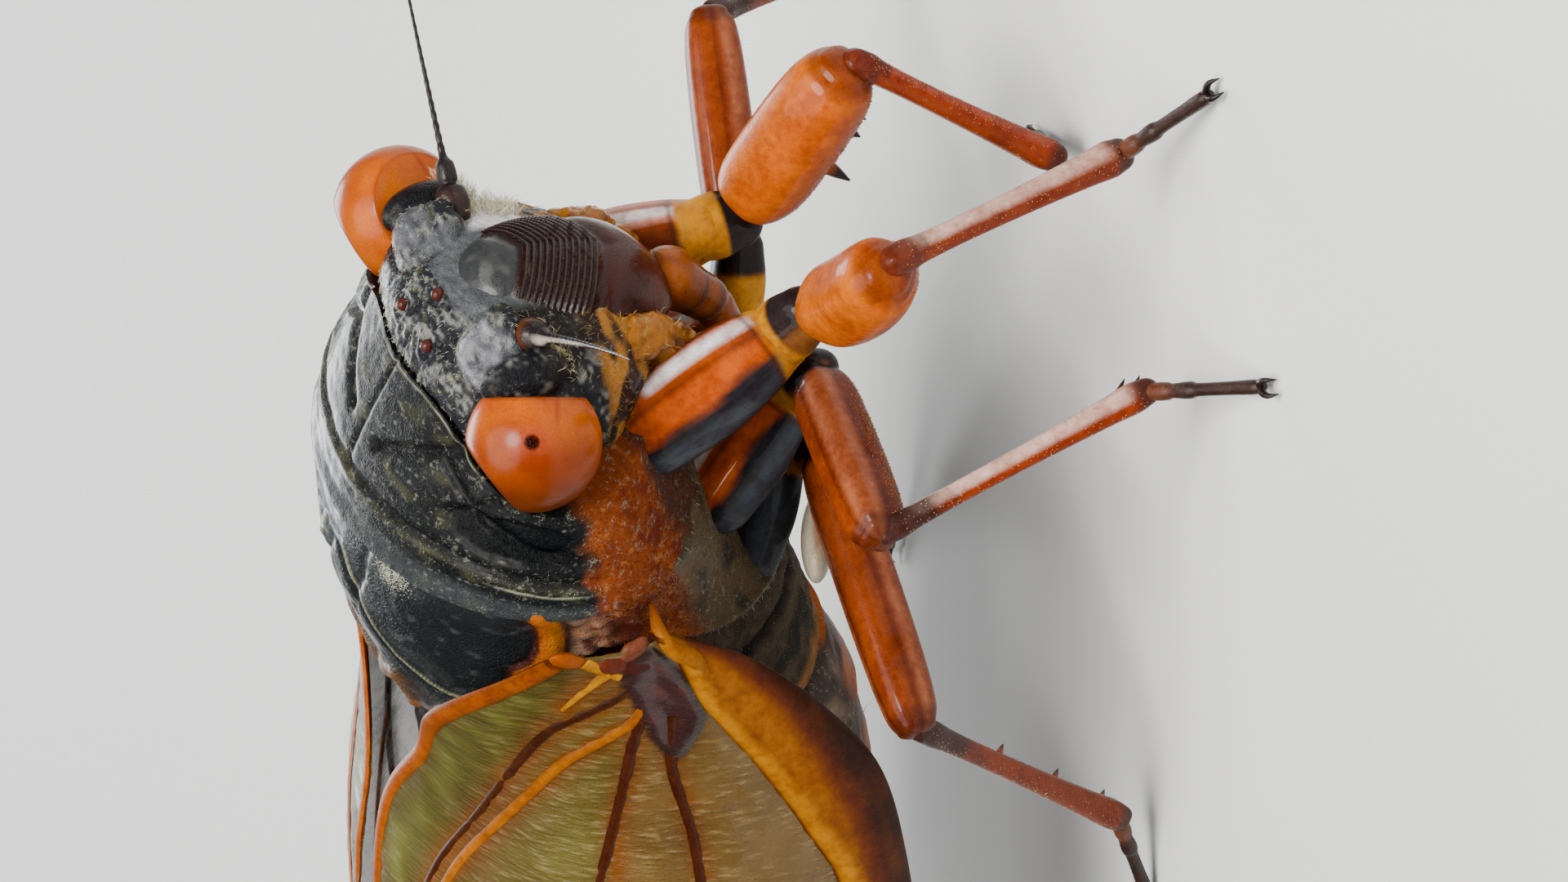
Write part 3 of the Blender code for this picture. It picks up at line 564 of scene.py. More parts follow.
class Coat:
    # Closed spikes, each with its own patch of the bake map at its root's place
    def __init__(self, name):
        self.name, self.points, self.colours, self.patches = name, [], [], []

    def grow(self, skin, count, mask, lean, length, width, rootColour, tipColour, seed, lift=0.5,
             scatter=0.35):
        mesh = skin.piece.data
        faces, loops = mesh.polygons, mesh.loops
        centres, normals = read(faces, "center", 3), read(faces, "normal", 3)
        areas = read(faces, "area")
        corner = read(loops, "vertex_index", kind=int)[read(faces, "loop_start", kind=int)]
        weights = areas * np.clip(mask(centres, corner), 0, 1)
        dice = np.random.default_rng(seed)
        picked = dice.choice(len(faces), count, p=weights / weights.sum())
        roots, up = centres[picked], unit(normals[picked])
        ways = np.array(lean, float) + dice.normal(size=(count, 3)) * scatter
        lie = unit(ways - up * (ways * up).sum(axis=1)[:, None])
        ways = unit(lie * (1 - lift) + up * lift)
        stray = dice.uniform(-hair["stray"], hair["stray"], (2, count, 1))
        stray = stray * np.sqrt(areas[picked])[:, None]
        roots = roots + stray[0] * lie + stray[1] * np.cross(up, lie)
        reach = length * dice.uniform(*hair["length"], count)[:, None]
        side = unit(np.cross(up, ways))
        over = np.cross(ways, side)
        girth = width * dice.uniform(*hair["width"], count)[:, None]
        spike = []
        for share, wide in hair["rings"]:
            bow = up * reach * hair["bow"] * (1 - (2 * share - 1) ** 2)
            for a in (0, turn / 3, turn * 2 / 3):
                out = (side * math.cos(a) + over * math.sin(a)) * girth * wide / 2
                spike.append(roots + ways * reach * share + bow + out)
        spike.append(roots + ways * reach - up * reach * hair["droop"])
        self.points.append(np.stack(spike, axis=1).reshape(-1, 3))
        glow = dice.uniform(*hair["glow"], (count, 1))
        low, high = np.array(shade(*rootColour)), np.array(shade(*tipColour))
        tones = [low * glow] * 3 + [(low * 0.4 + high * 0.6) * glow] * 3 + [high * glow]
        self.colours.append(np.stack(tones, axis=1).reshape(-1, 3))
        place = skin.unwrap[corner[picked]]
        corners = np.array(((0, 0), (1, 0), (2, 0), (0, 1), (1, 1), (2, 1), (1, 2)))
        patch = corners * hair["patch"] / 2
        self.patches.append((place[:, None, :] * (1 - hair["patch"]) + patch).reshape(-1, 2))

    def made(self, slot):
        points = np.concatenate(self.points)
        strand = ((2, 1, 0), (0, 1, 4, 3), (1, 2, 5, 4), (2, 0, 3, 5), (3, 4, 6), (4, 5, 6),
                  (5, 3, 6))
        firsts = range(0, len(points), 7)
        faces = [tuple(first + i for i in face) for first in firsts for face in strand]
        mesh = bpy.data.meshes.new(self.name)
        mesh.from_pydata(points.tolist(), [], faces)
        piece = bpy.data.objects.new(self.name, mesh)
        bpy.context.scene.collection.objects.link(piece)
        mesh.transform(bodyToModel)
        tint = np.concatenate(self.colours)
        tint = np.concatenate((tint, np.ones((len(tint), 1))), axis=1)
        attribute = mesh.attributes.new("tint", "FLOAT_COLOR", "POINT")
        attribute.data.foreach_set("color", tint.astype(np.float32).ravel())
        patches = np.concatenate(self.patches)[read(mesh.loops, "vertex_index", kind=int)]
        layer = mesh.uv_layers.new(name="OFBake")
        layer.data.foreach_set("uv", patches.astype(np.float32).ravel())
        turnOutward(piece)
        mesh.materials.append(finishes["coat"])
        mesh.shade_smooth()
        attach(piece, "root")
        print(self.name, len(firsts), "hairs")


headCoat, thoraxCoat = Coat("down_of_head"), Coat("down_of_thorax")
sideCoat, legCoat = Coat("down_of_side"), Coat("down_of_legs")
wholeTile = (0.02, 0.02, 0.96, 0.96)  # corner, width and height on the bake map

# Stations of the trunk: y, half width, level, top, bottom
trunkStations = (
    (0.2, 3.3, 0.7, 2.7, -1.7), (1.3, 4.2, 0.6, 3.3, -1.9), (2.4, 4.65, 0.5, 3.8, -2.2),
    (3.5, 4.8, 0.4, 4.1, -2.8), (4.4, 4.4, 0.3, 4.15, -3.4), (5.6, 4.3, 0.1, 4.1, -3.8),
    (7.0, 4.15, -0.2, 3.7, -4.8), (8.4, 4.0, -0.5, 3.1, -5.3), (9.9, 3.95, -0.9, 2.3, -5.9),
    (12.5, 4.35, -1.5, 2.3, -6.6), (17.0, 4.3, -1.9, 2.0, -6.7), (20.5, 3.6, -2.0, 1.2, -5.9),
    (23.5, 2.2, -2.1, 0.0, -4.5), (25.4, 0.9, -2.2, -1.2, -3.3),
)
rearStations = (
    (4.0, 3.5, -0.2, 2.4, -3.0), (5.6, 3.8, -0.2, 2.45, -3.7), (7.4, 3.9, -0.4, 2.25, -5.0),
    (9.9, 3.95, -0.9, 2.2, -5.8),
)
# Where the pronotum starts and the mesonotum ends: degrees from the ridge, y
neckLine = ((0, 0.25), (30, 0.3), (62, 1.2), (85, 1.35), (120, 1.15), (180, 1.2))
shieldLine = ((0, 9.35), (20, 8.6), (36, 7.5), (52, 6.5), (68, 5.6), (84, 5.1), (100, 5.2),
              (125, 6.4), (180, 7.4))
# The camera's directions in the body frame: towards it, down and right in its picture
cameraBack = np.array((-0.65751093, -0.70148555, 0.27494981))
imageDown = np.array((-0.64466489, 0.7126687, 0.27660531))
imageRight = np.array((-0.38998275, 0.00462053, -0.92081057))


def atDegrees(line):
    return lambda angle: smoothAt(degreesOf(angle), line)[0]


def atY(y):
    return lambda angle: np.full(len(angle), float(y))


neckAt, shieldAt = atDegrees(neckLine), atDegrees(shieldLine)

pronotum = {
    "rings": 150, "sides": 360, "collar": 2.5, "rear": 3.55, "girth": 4.2,
    "fissures": (((0.62, 42), (1.21, 22), (1.72, 8)), ((1.25, 56), (1.45, 50), (1.75, 40)),
                 ((0.95, 34), (1.7, 52), (2.15, 70), (2.3, 88))),
    "glossy": (1.92, 62, 0.44, 23),
}


def collarAt(degrees):
    return pronotum["collar"] + 0.25 * ease(degrees, 40, 90)


def pronotumMarks(y, angle):
    degrees = degreesOf(angle)
    fissure = np.zeros(len(y))
    for line in pronotum["fissures"]:
        fissure = np.maximum(fissure, bell(arcDistance(y, degrees, line, pronotum["girth"]), 0.13))
    gy, gAngle, gLong, gWide = pronotum["glossy"]
    glossy = 1 - ease(np.hypot((y - gy) / gLong, (degrees - gAngle) / gWide), 0.75, 1.15)
    top = 1 - ease(degrees, 86, 98)
    return degrees, fissure * top, glossy * top, top


def pronotumRelief(y, angle):
    degrees, fissure, glossy, top = pronotumMarks(y, angle)
    arc = angle * pronotum["girth"]
    place = np.stack((y, arc), axis=1)
    lift = 0.014 * wobble(place, 1.3, 3) + 0.007 * wobble(place, 0.35, 4)
    lift -= 0.11 * fissure + 0.1 * glossy
    collar = collarAt(degrees)
    lift -= 0.07 * bell(y - collar, 0.09) * top
    lift += 0.04 * bell(y - collar - 0.17, 0.09) * top
    lift += 0.07 * ease(y, 3.2, 3.5) * top
    lift -= 0.05 * bell(arc, 0.07) * (y < collar)
    return lift


print("pronotum")
shell = loft("pronotum_shell", trunkStations, neckAt, atY(pronotum["rear"]), pronotum["rings"],
             pronotum["sides"], pronotumRelief, (0.02, 0.5, 0.46, 0.22))
y, angle, place = shell.along, shell.angle, shell.points
degrees, fissure, glossy, top = pronotumMarks(y, angle)
collar = collarAt(degrees)
paint = Paint(place, (14, 15, 17), 0.38)
mottle = ease(wobble(place, 0.7, 11) + 0.8 * wobble(place, 0.22, 12), 0.2, 1.3)
paint.lay(mottle * 0.4, (46, 49, 47), 0.5)
paint.blot(0.8, 13, 0.3, 0.9, 0.4, (70, 71, 46), 0.6)
paint.blot(0.16, 18, 0.7, 1.2, 0.7, (112, 114, 104), 0.5)
paint.lay(fissure, (8, 8, 10), 0.4)
paint.lay(glossy, (5, 6, 8), 0.2)
patchy = 0.4 + 0.6 * ease(wobble(place, 0.9, 17), -0.3, 0.7)
paint.lay(bell(y - collar - 0.15, 0.07) * top * patchy * 0.4, (84, 84, 66), 0.6)
paint.lay(bell(y - collar - 0.3, 0.03) * between(degrees, 56, 84, 6) * patchy * 0.7,
          (168, 172, 142), 0.5)
paint.lay(between(y, collar + 0.55, 9, 0.1) * top * 0.6, (53, 57, 59), 0.36)
rim = y - neckAt(angle)
paint.lay(bell(rim - 0.02, 0.06) * top * 0.8, (12, 11, 12), 0.5)
paint.lay(bell(rim - 0.07, 0.018) * (1 - ease(degrees, 44, 54)) * patchy * 0.8,
          (150, 148, 120), 0.45)
ragged = 5 * wobble(place, 1.0, 14)
orangeSide = ease(degrees, 84 + ragged, 92 + ragged)
paint.lay(orangeSide, (124, 56, 14), 0.8)
paint.blot(0.6, 15, 0.0, 0.8, orangeSide * 0.8, (92, 24, 10), 0.7)
paint.blot(0.35, 16, 0.4, 1.0, orangeSide * 0.7, (164, 96, 44), 0.7)
paint.lay(ease(degrees, 122, 136) * 0.85, (52, 42, 36), 0.7)

thoraxCoat.grow(shell, 1900, lambda p, c: (degrees[c] < 92) * (glossy[c] < 0.3)
                * (0.25 + ease(wobble(p, 0.9, 21), 0.0, 0.8)),
                (0, 1, 0.1), 0.16, 0.014, (150, 140, 100), (226, 216, 178), 31, 0.25, 0.5)
thoraxCoat.grow(shell, 260, lambda p, c: bell(y[c] - collar[c] - 0.2, 0.12) * (degrees[c] < 92),
                (0, 1, 0.1), 0.15, 0.013, (150, 138, 90), (214, 200, 140), 32, 0.25, 0.5)
sideCoat.grow(shell, 5000, lambda p, c: ease(degrees[c], 84, 96) * (degrees[c] < 150),
              (0, 0.8, -0.7), 0.34, 0.022, (96, 36, 6), (140, 68, 18), 33, 0.35, 0.6)
settle(paint.keep(shell.piece), "body", ["pronotum"])

print("mesonotum")
mesonotum = {
    "rings": 170, "sides": 360, "front": 3.4, "girth": 4.1,
    "paleLine": ((4.3, 6), (4.96, 11), (5.55, 17), (6.35, 24), (6.66, 32), (6.86, 39), (6.75, 47)),
    "darkRim": ((4.6, 2), (5.4, 9), (6.1, 15), (6.8, 23), (7.05, 31), (7.1, 40)),
    "furrow": ((3.6, 16), (4.6, 15), (5.6, 9), (6.2, 5)),
    "cross": ((7.5, 1.15), (8.35, 0.0), (9.05, 0.7)),
    "crescent": ((3.5, 69), (3.85, 72.5), (4.4, 74.5), (4.95, 73.5), (5.4, 70), (5.65, 65)),
}


def mesonotumMarks(y, angle):
    degrees = degreesOf(angle)
    near = {}
    for name in ("paleLine", "darkRim", "furrow", "crescent"):
        near[name] = arcDistance(y, degrees, mesonotum[name], mesonotum["girth"])
    crossX = np.abs(np.sin(angle)) * 4.0
    near["cross"] = lineDistance(y, crossX, mesonotum["cross"])
    return degrees, near


def mesonotumRelief(y, angle):
    degrees, near = mesonotumMarks(y, angle)
    place = np.stack((y, angle * mesonotum["girth"]), axis=1)
    lift = 0.02 * wobble(place, 1.2, 5) + 0.008 * wobble(place, 0.4, 6)
    lift += 0.05 * bell(near["paleLine"], 0.1) - 0.09 * bell(near["darkRim"], 0.11)
    lift -= 0.05 * bell(near["furrow"], 0.12)
    lift += 0.22 * bell(near["cross"], 0.28) * (y > 7.0)
    lift += 0.1 * bell(near["crescent"], 0.2) - 0.05 * bell(near["crescent"] - 0.36, 0.08)
    lift += 0.06 * bell(y - shieldAt(angle) + 0.12, 0.1)
    lift += 0.05 * bell(degrees - 34, 16) * between(y, 3.6, 6.2, 0.5)
    lift += 0.09 * wobble(place, 0.55, 48) * between(degrees, 79, 100, 3) * (y < 6.5)
    return lift


shell = loft("mesonotum_shell", trunkStations, atY(mesonotum["front"]), shieldAt,
             mesonotum["rings"], mesonotum["sides"], mesonotumRelief, (0.02, 0.26, 0.46, 0.22), 0.3)
y, angle, place = shell.along, shell.angle, shell.points
degrees, near = mesonotumMarks(y, angle)
paint = Paint(place, (26, 29, 31), 0.28)
paint.blot(1.6, 41, 0.2, 1.0, 0.5, (43, 48, 50), 0.34)
paint.lay(between(degrees, 22, 66, 8) * between(y, 4.2, 6.2, 0.6) * 0.7, (17, 20, 22), 0.24)
paint.blot(0.5, 42, 0.5, 1.0, 0.3, (78, 82, 84), 0.45)
paint.lay(bell(near["paleLine"], 0.045) * 0.75, (158, 156, 118), 0.5)
paint.lay(bell(near["darkRim"], 0.09) * 0.7, (18, 18, 20), 0.5)
paint.lay(bell(near["furrow"], 0.08) * 0.4, (22, 22, 26), 0.4)
paint.lay(bell(near["cross"], 0.3) * (y > 7.2) * 0.85, (96, 62, 26), 0.35)
paint.lay(bell(y - shieldAt(angle) + 0.1, 0.08) * (1 - ease(degrees, 70, 80)) * 0.7,
          (120, 72, 30), 0.4)
ragged = 4 * wobble(place, 1.0, 44)
side = ease(degrees, 82 + ragged, 87 + ragged)
paint.lay(side, (126, 60, 18), 0.8)
paint.blot(0.6, 45, 0.0, 0.8, side * 0.8, (98, 28, 14), 0.7)
paint.blot(0.35, 47, 0.4, 1.0, side * 0.6, (164, 98, 50), 0.7)
paint.lay(bell(degrees - 86, 8) * between(y, 3.5, 5.5, 0.4) * 0.8, (150, 112, 86), 0.45)
spots = ease(wobble(place, 0.45, 49), 0.3, 0.8) * between(degrees, 78, 98, 4) * (y < 6)
paint.lay(spots * 0.85, (62, 20, 22), 0.3)
paint.lay(bell(degrees - 96, 5) * between(y, 4.6, 6.2, 0.3) * 0.8, (74, 22, 18), 0.4)
crescent = 1 - ease(near["crescent"], 0.2, 0.27)
paint.lay(bell(near["crescent"] - 0.3, 0.07) * 0.9, (58, 18, 8), 0.35)
paint.lay(crescent, (150, 76, 4), 0.3)
paint.lay(crescent * ease(degrees - 72.5, 0, 1.5) * 0.8, (168, 98, 2), 0.28)
below = ease(degrees, 112, 124)
paint.lay(below * 0.85, (74, 70, 52), 0.75)
paint.blot(0.9, 46, 0.2, 0.8, below * 0.8, (22, 21, 20), 0.5)

thoraxCoat.grow(shell, 700, lambda p, c: (degrees[c] < 78)
                * (0.3 + ease(wobble(p, 0.9, 22), 0.2, 0.8)),
                (0, 1, 0.1), 0.12, 0.012, (120, 120, 100), (200, 196, 170), 34, 0.3, 0.5)
thoraxCoat.grow(shell, 760, lambda p, c: bell(np.hypot(y[c] - 3.78, (degrees[c] - 26) / 15), 0.28)
                * (p[:, 0] < 0), (0.1, 0.8, 0.1), 0.4, 0.013, (180, 182, 164), (248, 248, 238), 35,
                0.35, 0.35)
sideCoat.grow(shell, 4200, lambda p, c: ease(degrees[c], 82, 92) * (degrees[c] < 118)
              * (1 - crescent[c]), (0, 0.8, -0.7), 0.34, 0.022, (96, 38, 8), (142, 72, 22), 36,
              0.35, 0.6)
sideCoat.grow(shell, 2600, lambda p, c: ease(degrees[c], 114, 124) * (degrees[c] < 165),
              (0, 0.8, -0.7), 0.34, 0.02, (110, 106, 84), (196, 190, 160), 37, 0.4, 0.6)
settle(paint.keep(shell.piece), "body", ["mesothorax"])

print("rear of the thorax")
thoraxRear = {"front": 4.3, "rear": 9.9, "rings": 110, "sides": 240, "girth": 3.8}


def rearRelief(y, angle):
    place = np.stack((y, angle * thoraxRear["girth"]), axis=1)
    degrees = degreesOf(angle)
    lift = 0.05 * wobble(place, 1.3, 7) + 0.03 * wobble(place, 0.5, 8)
    lift -= 0.12 * bell(y - 7.7, 0.12) * ease(degrees, 80, 100)
    lift += 0.1 * bell(degrees - 100, 9) * between(y, 5.4, 7.4, 0.5)
    return lift - 0.05


shell = loft("thorax_rear", rearStations, atY(thoraxRear["front"]), atY(thoraxRear["rear"]),
             thoraxRear["rings"], thoraxRear["sides"], rearRelief, (0.02, 0.02, 0.46, 0.22),
             tuckRear=0.3)
y, angle, place = shell.along, shell.angle, shell.points
degrees = degreesOf(angle)
paint = Paint(place, (112, 54, 20), 0.75)
paint.blot(0.9, 51, 0.0, 0.9, 0.7, (96, 32, 16), 0.65)
above, below = 1 - ease(degrees, 52, 66), ease(degrees, 104, 118)
paint.lay(above, (150, 142, 112), 0.6)
paint.blot(0.8, 52, 0.1, 0.8, above, (70, 64, 52), 0.6)
paint.lay(below * 0.9, (80, 74, 62), 0.7)
paint.blot(1.1, 53, 0.1, 0.7, below * 0.8, (28, 26, 26), 0.5)
paint.lay(bell(y - 7.7, 0.16) * ease(degrees, 80, 100) * 0.8, (24, 20, 18), 0.5)
paint.lay(bell(y - 9.7, 0.2) * ease(degrees, 60, 90) * 0.6, (180, 120, 60), 0.5)
sideCoat.grow(shell, 2400, lambda p, c: ease(degrees[c], 60, 80) * (degrees[c] < 112),
              (0, 0.8, -0.7), 0.34, 0.02, (150, 80, 40), (224, 156, 96), 38, 0.4, 0.6)
sideCoat.grow(shell, 2200, lambda p, c: ease(degrees[c], 108, 122) * (degrees[c] < 170),
              (0, 0.8, -0.7), 0.3, 0.02, (120, 112, 90), (206, 198, 168), 39, 0.4, 0.6)
settle(paint.keep(shell.piece), "side", ["metathorax"])

opercula = {"centre": (2.35, 5.95, -4.95), "radii": (1.1, 0.6, 0.32), "tilt": 24}
plates = []
for side in (1, -1):
    centre = (opercula["centre"][0] * side, *opercula["centre"][1:])
    tilt = Matrix.Rotation(-math.radians(opercula["tilt"]) * side, 3, "Y")
    plates.append(ellipsoid("plate", centre, opercula["radii"], 24, 48, tilt))
piece = joined("opercula", plates)
place = coordinates(piece)
offset = (np.abs(place) * (1, 1, 0) - np.array(opercula["centre"])) / np.array(opercula["radii"])
rim = np.hypot(offset[:, 0], offset[:, 1])
paint = Paint(place, (206, 194, 168), 0.45)
paint.lay(ease(rim, 0.9, 1.0) * 0.8, (150, 84, 34), 0.4)
paint.blot(0.8, 61, 0.2, 0.9, 0.4, (150, 120, 90), 0.5)
settle(paint.keep(piece), "face")

print("abdomen")
abdomen = {"front": 9.9, "rear": 25.4, "segments": 9, "rings": 260, "sides": 180, "girth": 4.2}


def segmentShare(y):
    along = (y - abdomen["front"]) / (abdomen["rear"] - abdomen["front"]) * abdomen["segments"]
    return along % 1.0, along


def abdomenRelief(y, angle):
    share, along = segmentShare(y)
    place = np.stack((y, angle * abdomen["girth"]), axis=1)
    step = 0.2 * share - 0.12 - 0.1 * bell(share, 0.1)
    fold = -0.12 * bell(degreesOf(angle) - 118, 5)
    tip = 1 - ease(along, 8.2, 9.0)
    return (step + fold) * tip + 0.015 * wobble(place, 0.7, 9)


shell = loft("abdomen_rings", trunkStations, atY(abdomen["front"]), atY(abdomen["rear"]),
             abdomen["rings"], abdomen["sides"], abdomenRelief, (0.52, 0.02, 0.46, 0.46), 0.35)
y, angle, place = shell.along, shell.angle, shell.points
degrees = degreesOf(angle)
share, _ = segmentShare(y)
paint = Paint(place, (26, 24, 25), 0.34)
paint.lay(ease(share, 0.78, 0.9) * 0.5, (86, 44, 18), 0.4)
below, keel, bandRear = ease(degrees, 100, 112), ease(degrees, 152, 162), ease(share, 0.5, 0.62)
paint.lay(below, (62, 50, 44), 0.5)
paint.blot(1.3, 62, 0.1, 0.8, below * 0.7, (128, 108, 88), 0.55)
paint.lay(keel * (1 - bandRear), (60, 30, 16), 0.4)
paint.lay(keel * bandRear, (150, 72, 18), 0.4)
paint.lay(bell(share, 0.08) * 0.8, (14, 12, 12), 0.5)
sideCoat.grow(shell, 1500, lambda p, c: ease(degrees[c], 96, 106) * (y[c] < 20),
              (0, 1, -0.2), 0.26, 0.016, (120, 100, 80), (200, 186, 160), 40, 0.25, 0.4)
settle(paint.keep(shell.piece), "body", ["abdomen"])
ends = [
    ellipsoid("endCap", (0, 25.15, -2.25), (0.92, 1.0, 1.08), 40, 48,
              relief=lambda p, l: 0.03 * wobble(p, 0.6, 63) - 0.08 * bell(l[:, 1] - 0.55, 0.07)),
    ellipsoid("endPlate", (0, 24.7, -3.35), (0.55, 0.95, 0.22), 24, 36,
              Matrix.Rotation(math.radians(16), 3, "X")),
]
piece = joined("abdomen_tip", ends)
place = coordinates(piece)
paint = Paint(place, (24, 21, 20), 0.3)
paint.blot(0.8, 64, 0.1, 0.8, 0.6, (74, 38, 16), 0.4)
paint.lay(ease(-place[:, 2], 3.1, 3.3) * 0.8, (120, 62, 20), 0.35)
settle(paint.keep(piece), "body")

print("head")
headStations = (
    (-1.4, 1.35, 1.0, 1.35, 0.35), (-1.1, 2.1, 1.0, 1.85, -0.45), (-0.5, 2.95, 1.1, 2.35, -1.9),
    (0.3, 3.25, 1.0, 2.65, -2.25), (1.2, 3.2, 0.7, 2.6, -2.1), (2.2, 3.0, 0.6, 2.4, -1.9),
)
head = {
    "voxel": 0.042,
    "ledge": ((2.5, -0.9, 1.12), (0.52, 0.56, 0.9)),
    "brow": ((1.55, -1.3, 1.15), (0.6, 0.5, 0.4)),
    "boss": ((1.72, -0.95, 1.4), (0.62, 0.62, 0.68)),
    "valley": (1.0, -0.75, 2.15),
    "ocelli": ((0.0, -1.12, 1.86), (0.62, -0.49, 2.34), (-0.62, -0.49, 2.34)),
    "ocellus": 0.13,
}
# Each eye is pressed flat at its inner front, where it meets the face, and a little on top
eye = {
    "centre": np.array((3.45, -0.05, 1.31)), "radii": np.array((1.28, 1.33, 1.3)),
    "flatWay": np.array((-0.645, -0.713, -0.277)), "flat": 0.86, "rings": 110, "sides": 180,
    "restWay": np.array((0.085, 0.431, 0.896)), "rest": 0.94, "give": 0.14,
}

skull = loft("skull", headStations, atY(headStations[0][0]), neckAt, 60, 120,
             lambda y, angle: np.zeros(len(y)), (0, 0, 1, 1), tuckRear=0.4)
lumps = [skull.piece]
for side in (1, -1):
    for key in ("ledge", "brow", "boss"):
        centre, radii = head[key]
        lumps.append(ellipsoid(key, (centre[0] * side, *centre[1:]), radii, 20, 32))
piece = joined("head_shell", lumps)
applied(piece, "REMESH", mode="VOXEL", voxel_size=head["voxel"])
applied(piece, "SMOOTH", factor=0.5, iterations=6)
place, normals = coordinates(piece), read(piece.data.vertices, "normal", 3)
mirrored = place.copy()
mirrored[:, 0] = np.abs(mirrored[:, 0])


def fromSpot(spot, size):
    return np.linalg.norm((mirrored - np.array(spot)) / np.array(size), axis=1)


coronal = bell(mirrored[:, 0], 0.05) * (place[:, 1] > -0.9) * (place[:, 2] > 1.9)
valley = bell(fromSpot(head["valley"], (0.14, 0.5, 0.6)) - 0.2, 0.5)
valley *= fromSpot(head["valley"], (0.35, 0.8, 0.9)) < 1
plateEdge = bell(fromSpot(head["boss"][0], (0.82, 0.74, 0.86)) - 1, 0.1)
lift = -0.05 * coronal - 0.07 * valley - 0.05 * plateEdge
ledge = 1 - ease(fromSpot(head["ledge"][0], (0.64, 0.68, 1.02)), 0.8, 1.0)
lift += (0.03 * wobble(place, 0.75, 71) + 0.018 * wobble(place, 0.26, 72)) * (1 - ledge)
for spot in head["ocelli"]:
    ring = np.linalg.norm(place - np.array(spot), axis=1)
    lift += 0.05 * bell(ring - 0.3, 0.07)
putCoordinates(piece, place + normals * lift[:, None])
place = coordinates(piece)
shell = Skin(piece, place[:, 1], np.arctan2(place[:, 0], place[:, 2] - 0.6), wholeTile)
leftHalf = place[:, 0] > 0
paint = Paint(place, (29, 30, 35), 0.42)
grey = ease(wobble(place, 0.7, 73) + 0.8 * wobble(place, 0.25, 74), 0.0, 1.2)
paint.lay(grey * 0.75, (134, 135, 130), 0.55)
paint.blot(0.5, 75, 0.4, 0.9, 0.4, (84, 82, 54), 0.6)
boss = 1 - ease(fromSpot((1.75, -1.0, 1.45), (0.85, 0.75, 0.85)), 0.75, 1.05)
# Pale plate on the boss; it is weakened on the far (left) half as painted shade
paint.lay(boss * (0.4 + 0.3 * wobble(place, 0.3, 76)) * (1 - 0.6 * leftHalf),
          (166, 167, 174), 0.5)
frons = ease(-place[:, 1], 1.0, 1.25) * (mirrored[:, 0] < 1.25) * (place[:, 2] < 1.75)
paint.lay(frons * 0.8, (80, 82, 86), 0.34)
temple = ease(mirrored[:, 0], 1.0, 1.3) * ease(-place[:, 1], 0.5, 0.9)
temple *= ease(0.85 - place[:, 2], 0.0, 0.3) * ease(place[:, 2], -0.7, -0.4)
# Painted light and shade: the far (left) temple is painted near white as if lit, the near (right)
# temple dark as if shaded
paint.lay(temple * leftHalf * 0.95, (232, 229, 230), 0.5)
paint.lay(temple * ~leftHalf * 0.9, (34, 28, 26), 0.45)
# Painted shade: the ledge bump painted near black, heavily on the far (left) side and lightly on
# the near side
paint.lay(ledge * np.where(leftHalf, 0.95, 0.3), (13, 12, 16), 0.18)
paint.lay(valley * 0.5 + coronal * 0.4 + plateEdge * 0.4, (18, 18, 22), 0.5)
orbit = fromSpot(eye["centre"], (1.42, 1.47, 1.44))
paint.lay(bell(orbit - 1.0, 0.07) * 0.9, (20, 18, 22), 0.3)
cheek = ease(-place[:, 2], 0.3, 0.7) * (mirrored[:, 0] > 1.2)
paint.lay(cheek * 0.9, (44, 28, 20), 0.5)
paint.blot(0.7, 77, -0.1, 0.3, cheek * 0.9, (164, 108, 40), 0.45)
headCoat.grow(shell, 2000, lambda p, c: (p[:, 2] > 0.4) * (0.1 + grey[c]) * (ledge[c] < 0.1)
              * (frons[c] < 0.5), (0, 0.6, 0.4), 0.1, 0.011,
              (120, 120, 104), (206, 204, 184), 81, 0.3, 0.6)
headCoat.grow(shell, 420, lambda p, c: ease(0.1 - p[:, 2], 0.0, 0.5) * (np.abs(p[:, 0]) > 1.3),
              (0, 0.3, -0.8), 0.2, 0.012, (120, 84, 30), (200, 160, 80), 82, 0.35, 0.6)
headCoat.grow(shell, 800, lambda p, c: temple[c] * (p[:, 0] > 1.6), (0.4, -0.7, -0.1),
              0.34, 0.01, (196, 190, 160), (244, 238, 208), 83, 0.5, 0.5)
headCoat.grow(shell, 160, lambda p, c: bell(np.linalg.norm((p - (-2.2, -1.0, 0.3))
              / (0.4, 0.5, 0.3), axis=1), 1.0), (-0.3, -0.6, 0.5), 0.24, 0.012, (150, 140, 96),
              (226, 216, 176), 84, 0.4, 0.6)
settle(paint.keep(piece), "body", ["head"])

domes = [ellipsoid("ocellus", spot, (head["ocellus"],) * 3, 14, 24) for spot in head["ocelli"]]
piece = joined("ocelli", domes)
paint = Paint(coordinates(piece), (66, 36, 34), 0.12)
paint.blot(0.3, 78, 0.0, 0.8, 0.6, (34, 16, 15), 0.12)
settle(paint.keep(piece), "eye")

